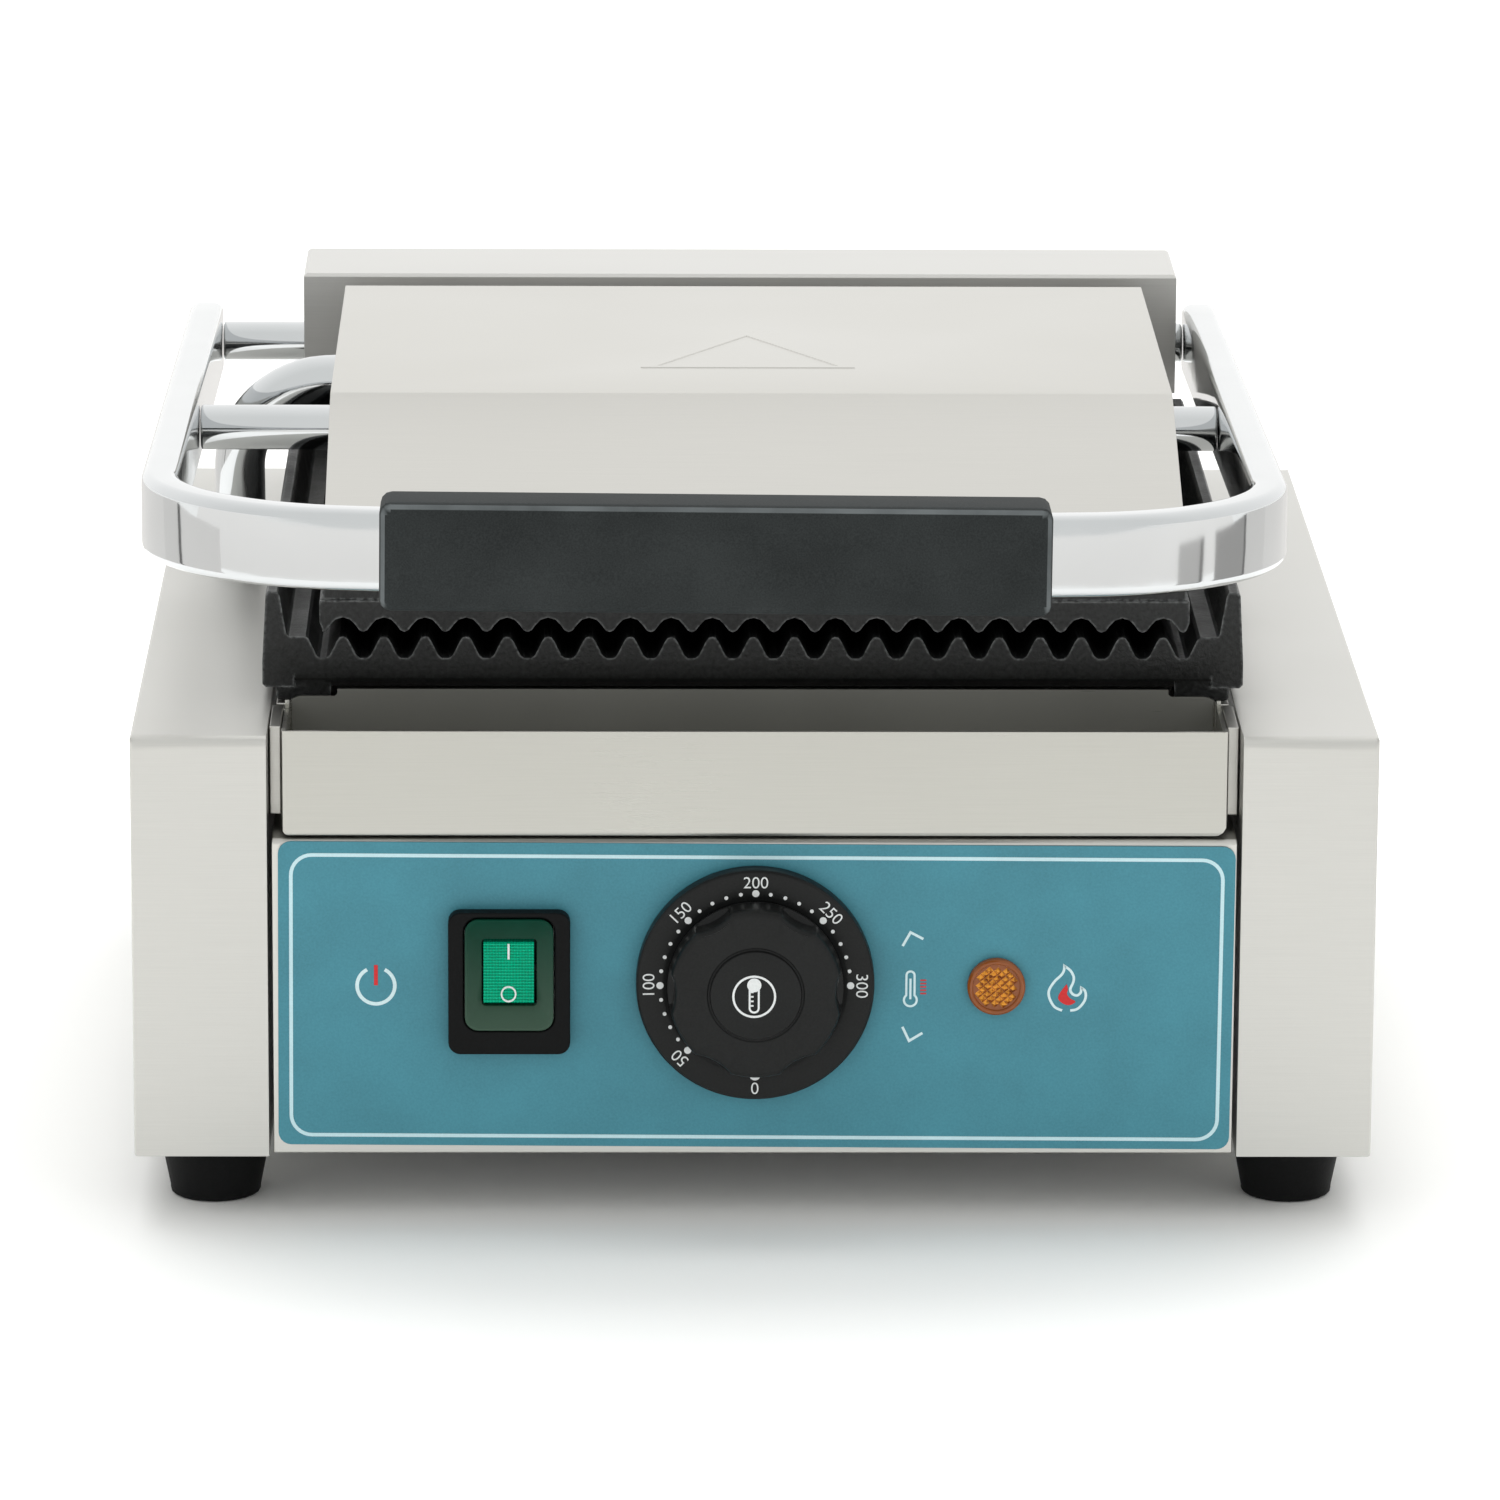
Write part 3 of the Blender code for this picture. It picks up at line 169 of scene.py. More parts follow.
def brushed(name, colour, roughness=0.34, inside=None, metallic=1.0):
    """Brushed sheet: fine grain along X, or along Y on the sides, with faint cloudy smears.

    inside is (low Y, high Y, half width) of a space where the sheet is duller and darkened by painted
    shade, as in the hollow under the plate.
    """
    made, tree, shader = blank(name)
    where = spot(tree)
    side = above(tree, calc(tree, "ABSOLUTE", xyz(tree, facing(tree))["X"]), 0.7)
    lengthwise = noise(tree, where, (GRAIN_LONG, GRAIN_FINE, GRAIN_FINE))
    endwise = noise(tree, where, (GRAIN_FINE, GRAIN_LONG, GRAIN_FINE))
    grain = add(tree, "Mix", {0: side, 2: lengthwise, 3: endwise}).outputs[0]
    cloud = noise(tree, where, 11.0, 3.0)
    if inside:
        x, y, _ = xyz(tree, where)
        behind, before = above(tree, y, inside[0]), below(tree, y, inside[1])
        room = product(tree, behind, before, below(tree, calc(tree, "ABSOLUTE", x), inside[2]))
        grain = add(tree, "Mix", {0: product(tree, room, 0.9), 2: grain, 3: 0.5}).outputs[0]
    shade = calc(tree, "ADD", product(tree, grain, 0.7), product(tree, cloud, 0.5))
    shade = remap(tree, shade, 0.35, 0.85, 0.0, 1.0)
    tone = blend_colour(tree, shade, scaled(0.955, colour), scaled(1.035, colour))
    if inside:
        # Painted shade: inside the tray the sheet darkens, in patches, to the shaded tone.
        shade_patches = remap(tree, noise(tree, where, 18.0), 0.3, 0.7, 0.85, 1.0)
        tone = blend_colour(tree, product(tree, room, shade_patches), tone, TRAY_SHADE_TONE)
    tree.links.new(tone, shader.inputs["Base Color"])
    fine = remap(tree, grain, 0.3, 0.7, -0.03, 0.03)
    broad = remap(tree, cloud, 0.3, 0.7, roughness - 0.04, roughness + 0.05)
    tree.links.new(calc(tree, "ADD", fine, broad), shader.inputs["Roughness"])
    shader.inputs["Metallic"].default_value = metallic
    if inside:
        tree.links.new(remap(tree, room, 0.0, 1.0, metallic, 0.3), shader.inputs["Metallic"])
    set_bump(tree, shader, grain, 0.00001, 0.2)
    return made


def polished(name, colour):
    """Mirror-bright metal, slightly uneven."""
    made, tree, shader = blank(name)
    where = spot(tree)
    cloud = noise(tree, where, 45.0, 3.0)
    tone = blend_colour(tree, remap(tree, cloud, 0.3, 0.7, 0.0, 1.0), scaled(0.96, colour), colour)
    tree.links.new(tone, shader.inputs["Base Color"])
    tree.links.new(remap(tree, cloud, 0.3, 0.7, 0.05, 0.1), shader.inputs["Roughness"])
    shader.inputs["Metallic"].default_value = 1.0
    set_bump(tree, shader, noise(tree, where, 130.0, 1.0), 0.00006, 0.35)
    return made


def cast(name):
    """Black casting with a grainy skin, its edges paler from wear and a painted highlight, and painted
    shade darkening its undersides.
    """
    made, tree, shader = blank(name)
    where = spot(tree)
    grain = noise(tree, where, 900.0, 4.0, 0.65)
    cloud = noise(tree, where, 70.0, 3.0)
    speckle = remap(tree, grain, 0.35, 0.7, 0.0, 1.0)
    tone = blend_colour(tree, speckle, (0.0055, 0.006, 0.006), (0.022, 0.023, 0.023))
    _, y, z = xyz(tree, facing(tree))
    real = add(tree, "NewGeometry").outputs["Normal"]
    soft = add(tree, "Bevel", {"Radius": 1.1 * MM}, samples=6).outputs["Normal"]
    turn = add(tree, "VectorMath", {0: real, 1: soft}, operation="DOT_PRODUCT").outputs["Value"]
    # Painted highlight with some wear: edges that do not face down turn paler in grainy patches.
    edge = product(tree, remap(tree, turn, 0.985, 0.84, 0.0, 1.0), above(tree, z, -0.35))
    edge_highlight = calc(tree, "MULTIPLY", edge, remap(tree, grain, 0.4, 0.56, 0.1, 1.0), True)
    tone = blend_colour(tree, product(tree, edge_highlight, 0.8), tone, (0.24, 0.25, 0.25))
    # Painted shade: faces looking down and to the front or back go nearly black.
    underside_shade = product(tree, below(tree, z, -0.35), above(tree, calc(tree, "ABSOLUTE", y), 0.3))
    tone = blend_colour(tree, product(tree, underside_shade, 0.8), tone, (0.003, 0.0033, 0.0033))
    tree.links.new(tone, shader.inputs["Base Color"])
    tree.links.new(remap(tree, cloud, 0.3, 0.7, 0.32, 0.5), shader.inputs["Roughness"])
    shader.inputs["Specular IOR Level"].default_value = 0.4
    set_bump(tree, shader, grain, 0.0004, 0.6)
    return made


def moulded(name, colour, roughness, fine, depth, spread=0.25, metallic=0.0, gloss=0.25, edge_highlight=0.0):
    """Material with a fine skin and a little unevenness of tone; worn is how far a painted highlight pales
    the edges where its front or back meets its top or sides.
    """
    made, tree, shader = blank(name)
    where = spot(tree)
    grain = noise(tree, where, fine, 2.0)
    cloud = noise(tree, where, 55.0, 3.0)
    shade = calc(tree, "ADD", product(tree, grain, 0.5), product(tree, cloud, 0.5))
    shade = remap(tree, shade, 0.35, 0.65, 0.0, 1.0)
    tone = blend_colour(tree, shade, scaled(1 - spread, colour), scaled(1 + spread, colour))
    if edge_highlight:
        # Painted highlight: the edges where the front or back meets the top or a side are paled, in
        # patches.
        x, y, z = xyz(tree, facing(tree))
        x, y = (calc(tree, "ABSOLUTE", part) for part in (x, y))
        edge = calc(tree, "MAXIMUM", product(tree, y, z), product(tree, x, y))
        patchy = remap(tree, cloud, 0.3, 0.6, 0.4, 1.0)
        edge = product(tree, remap(tree, edge, 0.25, 0.48, 0.0, edge_highlight), patchy)
        tone = blend_colour(tree, edge, tone, (0.15, 0.165, 0.17))
    tree.links.new(tone, shader.inputs["Base Color"])
    rough = remap(tree, cloud, 0.3, 0.7, roughness - 0.05, roughness + 0.05)
    tree.links.new(rough, shader.inputs["Roughness"])
    shader.inputs["Metallic"].default_value = metallic
    shader.inputs["Specular IOR Level"].default_value = gloss
    set_bump(tree, shader, grain, depth, 0.5)
    return made


def clear(name, colour, roughness, share=0.0, glow=0.0, gloss=0.3, ribs=0.0, light_fade=None):
    """Coloured plastic that may transmit a share of the light or glow.

    ribs is the spacing of a fine cross-ribbed pattern in metres, with painted shade and highlight on its
    ribs; fade is (low Z, high Z, colour), a painted light that pales the plastic to that colour at the low
    end.
    """
    made, tree, shader = blank(name)
    where = spot(tree)
    cloud = noise(tree, where, 160.0, 2.0)
    tone = blend_colour(tree, remap(tree, cloud, 0.3, 0.7, 0.0, 1.0), scaled(0.85, colour), colour)
    if light_fade:
        # Painted light: the plastic grows paler towards the bottom.
        low, high, end = light_fade
        tone = blend_colour(tree, remap(tree, xyz(tree, where)["Z"], low, high, 1.0, 0.0), tone, end)
    tree.links.new(tone, shader.inputs["Base Color"])
    tree.links.new(remap(tree, cloud, 0.3, 0.7, roughness, roughness + 0.06), shader.inputs["Roughness"])
    shader.inputs["Transmission Weight"].default_value = share
    shader.inputs["IOR"].default_value = 1.46
    shader.inputs["Specular IOR Level"].default_value = gloss
    if ribs:
        x, _, z = xyz(tree, where)
        turn = 2 * math.pi / ribs
        waves = [calc(tree, "SINE", product(tree, side, turn)) for side in (x, z)]
        height = calc(tree, "ADD", product(tree, waves[0], 0.6), waves[1])
        # Painted shade and highlight: the ribs' crests are lightened and their hollows darkened.
        lit = remap(tree, height, -1.6, 1.2, 0.5, 1.1)
        tone = add(tree, "VectorMath", {0: tone, "Scale": lit}, operation="SCALE").outputs[0]
        tree.links.new(tone, shader.inputs["Base Color"])
        set_bump(tree, shader, height, 0.0001, 0.6)
    if glow:
        shader.inputs["Emission Color"].default_value = (*colour, 1.0)
        shader.inputs["Emission Strength"].default_value = glow
    return made


def facets(name, dark, light):
    """Coloured plastic with painted glints: its tone changes unevenly from one cut face to the next,
    lighter on faces turned up and to the left.
    """
    made, tree, shader = blank(name)
    where = spot(tree)
    x, _, z = xyz(tree, facing(tree))
    # Painted highlight: faces turned up and to the left are lighter, and the noise adds painted glints.
    highlight_lean = calc(tree, "ADD", product(tree, z, 0.5), product(tree, x, -0.25))
    sparkle = calc(tree, "ADD", noise(tree, where, 900.0, 1.0), product(tree, highlight_lean, 0.5))
    tone = blend_colour(tree, remap(tree, sparkle, 0.3, 0.75, 0.0, 1.0), dark, light)
    tree.links.new(tone, shader.inputs["Base Color"])
    shader.inputs["Roughness"].default_value = 0.12
    shader.inputs["Specular IOR Level"].default_value = 0.7
    return made


STEEL = brushed("brushed_sheet", (0.62, 0.61, 0.578))
TRAY_ROOM = ((1.2 + FRONT_Y) * MM, (33.6 + FRONT_Y) * MM, 108.5 * MM)
TRAY = brushed("tray_sheet", (0.49, 0.484, 0.448), 0.3, TRAY_ROOM)
SIDE = brushed("housing_sheet", (0.595, 0.588, 0.56), 0.36, metallic=0.7)
# The tower's sheet is a darker, less metallic copy of the brushed steel: painted shade dimming the tower.
TOWER = brushed("tower_sheet", (0.575, 0.568, 0.548), 0.36, metallic=0.55)
ZINC = moulded("zinc_plate", (0.5, 0.5, 0.5), 0.4, 500.0, 0.00002, 0.12, 1.0)
SPRING = moulded("spring_steel", (0.22, 0.22, 0.22), 0.35, 700.0, 0.00003, 0.2, 1.0)
CHROME = polished("chrome", (0.665, 0.68, 0.69))
CAST = cast("cast_iron")
RUBBER = moulded("rubber", (0.0045, 0.0048, 0.005), 0.6, 1600.0, 0.00008, gloss=0.12)
BLACK = moulded("black_plastic", (0.0088, 0.0094, 0.0094), 0.36, 2200.0, 0.00005, gloss=0.2)
GRIP = moulded("grip_plastic", (0.031, 0.0345, 0.035), 0.5, 2600.0, 0.00009, gloss=0.02, edge_highlight=0.9)
TEAL = moulded("overlay", (0.062, 0.247, 0.312), 0.4, 1900.0, 0.00003, 0.1)


def ink(name, colour, spread):
    return moulded(name, colour, 0.45, 1900.0, 0.00002, spread)


LINE = ink("printed_pale", (0.56, 0.77, 0.82), 0.05)
PALE = ink("printed_icons", (0.64, 0.81, 0.84), 0.05)
WHITE = ink("printed_white", (0.78, 0.8, 0.8), 0.06)
RED = ink("printed_red", (0.62, 0.028, 0.03), 0.1)
# The green cover is painted paler towards its bottom, standing in for the light on its lower wall.
COVER_LIGHT_FADE = (43.5 * MM, 73.5 * MM, (0.062, 0.105, 0.075))
GREEN = clear("green_cover", (0.003, 0.046, 0.027), 0.16, gloss=0.08, light_fade=COVER_LIGHT_FADE)
GREEN_LIT = clear("green_rocker", (0.0, 0.49, 0.265), 0.2, glow=0.05, gloss=0.15, ribs=0.7 * MM)
AMBER = clear("amber_ring", (0.3, 0.08, 0.012), 0.1, share=0.05, gloss=0.5)
AMBER_LIT = facets("amber_facets", (0.2, 0.045, 0.006), (1.0, 0.44, 0.06))
CERAMIC = moulded("ceramic", (0.66, 0.64, 0.58), 0.5, 900.0, 0.00005, 0.06)

FINISH = {
    "brushed_steel": STEEL,
    "spring_steel": SPRING,
    "zinc_plate": ZINC,
    "chrome": CHROME,
    "cast_iron": CAST,
    "black_rubber": RUBBER,
    "black_plastic": BLACK,
    "grip_plastic": GRIP,
    "teal_overlay": TEAL,
    "green_plastic": GREEN,
    "amber_lens": AMBER,
    "ceramic": CERAMIC,
}
OWN_LOOK = {
    "drip_tray": TRAY,
    "hinge_tower": TOWER,
    "side_housing_left": SIDE,
    "side_housing_right": SIDE,
}
SLOT_OF = {row["node"]: row["material_slot"] for row in frame["record"]["subparts"]}
for name, item in nodes.items():
    item.data.materials.clear()
    item.data.materials.append(OWN_LOOK.get(name, FINISH[SLOT_OF[name]]))


# ---- Building pieces -----------------------------------------------------------------------------


def piece(name, bm, look, body, stands_for=(), smooth=35.0, weighted=False):
    """One visible piece from a bmesh in metres, riding on a body."""
    bmesh.ops.recalc_face_normals(bm, faces=bm.faces)
    mesh = bpy.data.meshes.new(name)
    bm.to_mesh(mesh)
    bm.free()
    mesh.shade_smooth()
    mesh.set_sharp_from_angle(angle=math.radians(smooth))
    mesh.materials.append(look)
    made = bpy.data.objects.new(name, mesh)
    bpy.context.scene.collection.objects.link(made)
    if weighted:
        made.modifiers.new("normals", "WEIGHTED_NORMAL").keep_sharp = True
    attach(made, body)
    if stands_for:
        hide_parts(*stands_for)
    return made


def refine(node, name, width=0.4, angle=30.0, steps=2, look=None):
    """The CAD node's own shape with its edges rounded."""
    bm = bmesh.new()
    bm.from_mesh(nodes[node].data)
    bmesh.ops.remove_doubles(bm, verts=bm.verts, dist=1e-6)
    bmesh.ops.dissolve_limit(bm, angle_limit=math.radians(0.8), verts=bm.verts, edges=bm.edges)
    edges = [e for e in bm.edges if len(e.link_faces) == 2 and e.calc_face_angle(0.0) > math.radians(angle)]
    bmesh.ops.bevel(
        bm, geom=edges, offset=width * MM, segments=steps, profile=0.5, affect="EDGES", clamp_overlap=True
    )
    look = look or nodes[node].data.materials[0]
    return piece(name, bm, look, nodes[node]["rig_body"], (node,), 40.0, True)


def rounded(centre_u, centre_v, half_u, half_v, radius, steps=6):
    """The outline of a rectangle with round corners."""
    points = []
    for number, (su, sv) in enumerate(((1, 1), (-1, 1), (-1, -1), (1, -1))):
        for k in range(steps + 1):
            angle = math.pi / 2 * (number + k / steps)
            u = centre_u + su * (half_u - radius) + radius * math.cos(angle)
            v = centre_v + sv * (half_v - radius) + radius * math.sin(angle)
            points.append((u, v))
    return points


def add_sweep(bm, rings, closed=False):
    """Skins a row of rings of points, closing both ends with a face."""
    made = [[bm.verts.new(p) for p in ring] for ring in rings]
    pairs = list(zip(made, made[1:]))
    if closed:
        pairs.append((made[-1], made[0]))
    else:
        bm.faces.new(made[0])
        bm.faces.new(made[-1])
    for a, b in pairs:
        for k in range(len(a)):
            n = (k + 1) % len(a)
            bm.faces.new((a[k], a[n], b[n], b[k]))


def add_prism(bm, outline, low, high):
    """An outline of (x, z) in millimetres made solid between two values of Y."""
    add_sweep(bm, [[at(x, y, z) for x, z in outline] for y in (low, high)])


def add_lathe(bm, profile, centre, axis="Y", steps=96, closed=False, reach=None):
    """Turns (r, distance) points about an axis through the centre; reach(angle, r, d) may change r."""
    rings = []
    for r, d in profile:
        ring = []
        for k in range(steps):
            angle = 2 * math.pi * k / steps
            radius = reach(angle, r, d) if reach else r
            a, b = radius * math.sin(angle), radius * math.cos(angle)
            if axis == "Y":
                ring.append(at(centre[0] + a, centre[1] + d, centre[2] + b))
            else:
                ring.append(at(centre[0] + d, centre[1] + a, centre[2] + b))
        rings.append(ring)
    add_sweep(bm, rings, closed)


def add_tube(bm, points, radius, sides=32):
    """A round tube along points in millimetres, with each ring square to the path."""
    rings = []
    up = Vector((0, 0, 1))
    for k, point in enumerate(points):
        ahead = (points[min(k + 1, len(points) - 1)] - points[max(k - 1, 0)]).normalized()
        across = ahead.cross(up)
        if across.length < 0.2:
            across = ahead.cross(Vector((1, 0, 0)))
        across.normalize()
        up = across.cross(ahead).normalized()
        ring = []
        for s in range(sides):
            angle = 2 * math.pi * s / sides
            p = point + radius * (math.cos(angle) * across + math.sin(angle) * up)
            ring.append(at(*p))
        rings.append(ring)
    add_sweep(bm, rings)


def add_ribbon(bm, points, width, low, high, closed=False):
    """A printed line of the given width along (x, z) points, with mitred corners."""
    rings = []
    count = len(points)
    for k in range(count):
        here = Vector(points[k])
        before = Vector(points[k - 1]) if k or closed else here
        after = Vector(points[(k + 1) % count]) if k + 1 < count or closed else here
        first = (here - before).normalized() if (here - before).length > 1e-9 else None
        second = (after - here).normalized() if (after - here).length > 1e-9 else None
        first, second = first or second, second or first
        normal = (Vector((-first.y, first.x)) + Vector((-second.y, second.x))).normalized()
        half = width / 2 / max(0.35, normal.dot(Vector((-first.y, first.x))))
        a, b = here + normal * half, here - normal * half
        rings.append([at(a.x, low, a.y), at(b.x, low, b.y), at(b.x, high, b.y), at(a.x, high, a.y)])
    add_sweep(bm, rings, closed)


def arc(x, z, radius, start, end, steps=24):
    """Points of an arc; angles in degrees clockwise from the top."""
    made = []
    for k in range(steps + 1):
        angle = math.radians(start + (end - start) * k / steps)
        made.append((x + radius * math.sin(angle), z + radius * math.cos(angle)))
    return made


# ---- Sheet parts ---------------------------------------------------------------------------------

for node, width in (
    ("side_housing_left", 0.5),
    ("side_housing_right", 0.5),
    ("front_fascia", 0.4),
    ("hinge_tower", 0.4),
    ("lid_cover", 0.35),
    ("hinge_post_left", 0.3),
    ("hinge_post_right", 0.3),
    ("rear_panel", 0.3),
    ("tray_guide_left", 0.3),
    ("tray_guide_right", 0.3),
    ("drip_tray", 0.25),
    ("top_deck", 0.3),
):
    refine(node, node + "_sheet", width)

for node, width in (("lower_plate", 0.55), ("upper_plate", 0.5)):
    refine(node, node + "_casting", width, 28.0)

for node in ("foot_front_left", "foot_front_right", "foot_rear_left", "foot_rear_right", "switch_bezel"):
    refine(node, node + "_rubber", 0.5)
refine("handle_grip", "grip", 0.5)
refine("cable_gland", "gland", 0.3)


# ---- Handle --------------------------------------------------------------------------------------

HINGE_Y, HINGE_Z = 272.0, 153.6
TILT = math.radians(2.5)  # how far the closed handle slopes up towards its grip
TWIST = 0.0078  # how far the grip's right end hangs below level
BAR_X = -9.4
HALF = 128.9  # from the bar's middle to the centre line of an arm
REACH = 305.5  # from the hinge to the front of the centre line
CORNER = 50.0
BOW = math.radians(6.5)  # half the turn of the bowed front
BAR_H, BAR_T = 18.9, 8.6


def bar_path():
    """The handle's centre line in its own plane, as (x, reach, direction) from one end to the other."""
    turn = math.pi / 2 - BOW
    half = HALF - CORNER * (1 - math.cos(turn))
    bow_radius = half / math.sin(BOW)
    bow = bow_radius * (1 - math.cos(BOW))
    start = REACH - bow - CORNER * math.sin(turn)
    points = [(HALF, start * k / 16, 0.0) for k in range(17)]
    for k in range(1, 41):
        angle = turn * k / 40
        x = HALF - CORNER * (1 - math.cos(angle))
        points.append((x, start + CORNER * math.sin(angle), angle))
    for k in range(1, 25):
        angle = turn + BOW * k / 24
        reach = REACH - bow_radius * (1 - math.sin(angle))
        points.append((bow_radius * math.cos(angle), reach, angle))
    return points + [(-x, reach, math.pi - angle) for x, reach, angle in reversed(points[:-1])]


def bar_ring(x, reach, angle, height=BAR_H, thickness=BAR_T):
    """The bar's section at one place of its path."""
    ahead = Vector((0, -math.cos(TILT), math.sin(TILT)))
    up = Vector((0, math.sin(TILT), math.cos(TILT)))
    middle = Vector((BAR_X + x, HINGE_Y, HINGE_Z + 0.6)) + ahead * reach
    middle.z -= TWIST * x * reach / REACH
    across = Vector((math.cos(angle), 0, 0)) + ahead * math.sin(angle)
    radius = min(2.4, 0.45 * thickness, 0.45 * height)
    section = rounded(0, 0, thickness / 2, height / 2, radius)
    return [at(*(middle + across * u + up * v)) for u, v in section]


bm = bmesh.new()
rings = [bar_ring(*p) for p in bar_path()]
END, END_CURVE = 8.2, 8.6
for k in range(1, 13):
    back = END * math.sin(math.pi / 2 * k / 12)
    share = math.sqrt(1 - (back / END_CURVE) ** 2)
    size = max(BAR_H * share, BAR_T * 0.8), BAR_T * (0.7 + 0.3 * share)
    rings.insert(0, bar_ring(HALF, -back, 0.0, *size))
    rings.append(bar_ring(-HALF, -back, math.pi, *size))
add_sweep(bm, rings)
piece("bar", bm, CHROME, "handle", ("handle_bar",), 60.0)

left_arm, right_arm = BAR_X - HALF + BAR_T / 2, BAR_X + HALF - BAR_T / 2
for name, node, radius, y, z in (
    ("shaft", "hinge_shaft", 5.1, HINGE_Y, HINGE_Z),
    ("rod", "cross_rod", 5.5, 136.0, 160.3),
):
    bm = bmesh.new()
    x0, x1 = left_arm + 0.2, right_arm - 0.2
    profile = [(0.01, x0), (radius - 0.6, x0), (radius - 0.15, x0 + 0.2), (radius, x0 + 0.6)]
    profile += [(radius, x1 - 0.6), (radius - 0.15, x1 - 0.2), (radius - 0.6, x1), (0.01, x1)]
    add_lathe(bm, profile, (0, y, z), "X", 64)
    piece(name, bm, CHROME, "handle", (node,), 50.0)


# ---- Conduit -------------------------------------------------------------------------------------

CONDUIT_X, CONDUIT_R = -126.8, 6.3
ARC, BEND = 80.0, 24.0  # the arc about the hinge, and the bend into the lid
TOP, BOTTOM = math.radians(11.6), math.radians(94.0)
LID_SIDE = -101.4
points = []
for k in range(49):
    angle = BOTTOM + (TOP - BOTTOM) * k / 48
    away = Vector((0, -math.cos(angle), -math.sin(angle)))
    points.append(Vector((CONDUIT_X, HINGE_Y, HINGE_Z)) + ARC * away)
rise = Vector((0, -math.sin(TOP), math.cos(TOP)))
centre = points[-1] + Vector((BEND, 0, 0))
for k in range(1, 25):
    angle = math.pi / 2 * k / 24
    points.append(centre + BEND * (Vector((-math.cos(angle), 0, 0)) + rise * math.sin(angle)))
points.append(Vector((LID_SIDE + 9.0, points[-1].y, points[-1].z)))
bm = bmesh.new()
add_tube(bm, points, CONDUIT_R)
piece("conduit", bm, CHROME, "lid", ("wire_conduit",), 60.0)


# ---- Dial ----------------------------------------------------------------------------------------

KNOB = (0.2, PANEL, 58.2)
CAP = -13.8  # the cap's front, from the panel
bm = bmesh.new()
profile = [(5.7, -0.3), (27.6, -0.3), (27.8, -0.6), (27.8, -3.9), (27.65, -4.4), (27.2, -4.85)]
profile += [(26.6, -4.95), (21.9, -4.62), (21.3, -4.55), (20.9, -4.4), (5.7, -4.4)]
add_lathe(bm, profile, KNOB, steps=144, closed=True)
piece("scale_ring", bm, BLACK, "base", ("dial_ring",), 28.0)


def scallop(angle, r, d):
    """Six shallow round hollows in the cap's side, above its flange."""
    away, hollow, deepest = 31.6, 12.6, 2.2
    if r < 12 or d > -6.8:
        return r
    turn = (math.degrees(angle) - 30) % 60
    off = math.radians(turn if turn < 30 else turn - 60)
    inside = hollow**2 - (away * math.sin(off)) ** 2
    if inside <= 0:
        return r
    limit = away * math.cos(off) - math.sqrt(inside) - 20.5 + max(r, 19.2)
    return min(r, max(limit, r - deepest))


bm = bmesh.new()
profile = [(3.3, -5.2), (20.1, -5.2), (20.45, -5.4), (20.5, -5.7), (20.48, -6.6), (20.46, -7.1)]
profile += [(20.3, -11.0), (20.2, -11.9), (20.0, -12.5), (19.7, -12.9), (19.2, -13.15), (18.6, -13.2)]
profile += [(11.4, -13.2), (11.1, -13.0), (10.8, -13.0), (10.7, -13.4), (10.5, -13.7), (10.1, CAP)]
profile += [(0.01, CAP), (0.01, -10.8), (3.3, -10.8)]
add_lathe(bm, profile, KNOB, steps=240, closed=True, reach=scallop)
piece("cap", bm, BLACK, "knob", ("thermostat_knob",), 32.0)


def lettering(text, size, place, name, turn, slope, depth=0.16):
    """Plain figures standing on the dial, turned clockwise by an angle in degrees."""
    curve = bpy.data.curves.new(name + "_line", "FONT")
    curve.body = text
    curve.size = size * MM / 0.7
    curve.align_x = "CENTER"
    curve.align_y = "CENTER"
    curve.extrude = depth * MM / 2
    curve.offset = -0.00002
    helper = bpy.data.objects.new(name + "_line", curve)
    bpy.context.scene.collection.objects.link(helper)
    bpy.context.view_layer.update()
    evaluated = helper.evaluated_get(bpy.context.evaluated_depsgraph_get())
    bm = bmesh.new()
    bm.from_mesh(evaluated.to_mesh())
    evaluated.to_mesh_clear()
    bpy.data.objects.remove(helper)
    bmesh.ops.remove_doubles(bm, verts=bm.verts, dist=1e-7)
    tilt = Matrix.Rotation(math.atan(slope), 4, "X")
    turned = Matrix.Rotation(math.radians(turn), 4, "Y") @ Matrix.Rotation(math.pi / 2, 4, "X") @ tilt
    bm.transform(Matrix.Translation(place) @ turned)
    return bm


def joined(parts):
    """One bmesh holding all the parts, which are freed."""
    made = bmesh.new()
    for part in parts:
        mesh = bpy.data.meshes.new("part")
        part.to_mesh(mesh)
        part.free()
        made.from_mesh(mesh)
        bpy.data.meshes.remove(mesh)
    return made


FIGURES_R, DOTS_R = 24.7, 22.2
RING_SLOPE = (4.95 - 4.62) / (26.6 - 21.9)
DEGREES_PER_FIGURE = 45
marks = []
for k in range(7):
    text = str(50 * k)
    turn = 180 + DEGREES_PER_FIGURE * k
    x, z = arc(KNOB[0], KNOB[2], FIGURES_R, turn, turn, 1)[0]
    y = PANEL - 4.62 - (FIGURES_R - 21.9) * RING_SLOPE - 0.04
    marks.append(lettering(text, 2.8, at(x, y, z), "figure_" + text, turn, RING_SLOPE))
dots = bmesh.new()
for k in range(5, 31):
    turn = 180 + DEGREES_PER_FIGURE / 5 * k
    x, z = arc(KNOB[0], KNOB[2], DOTS_R, turn, turn, 1)[0]
    outline = arc(x, z, 0.84 if k % 5 == 0 else 0.45, 0, 345, 23)
    add_prism(dots, outline, PANEL - 4.76, PANEL - 4.4)
marks.append(dots)
piece("dial_marks", joined(marks), WHITE, "base", (), 30.0)

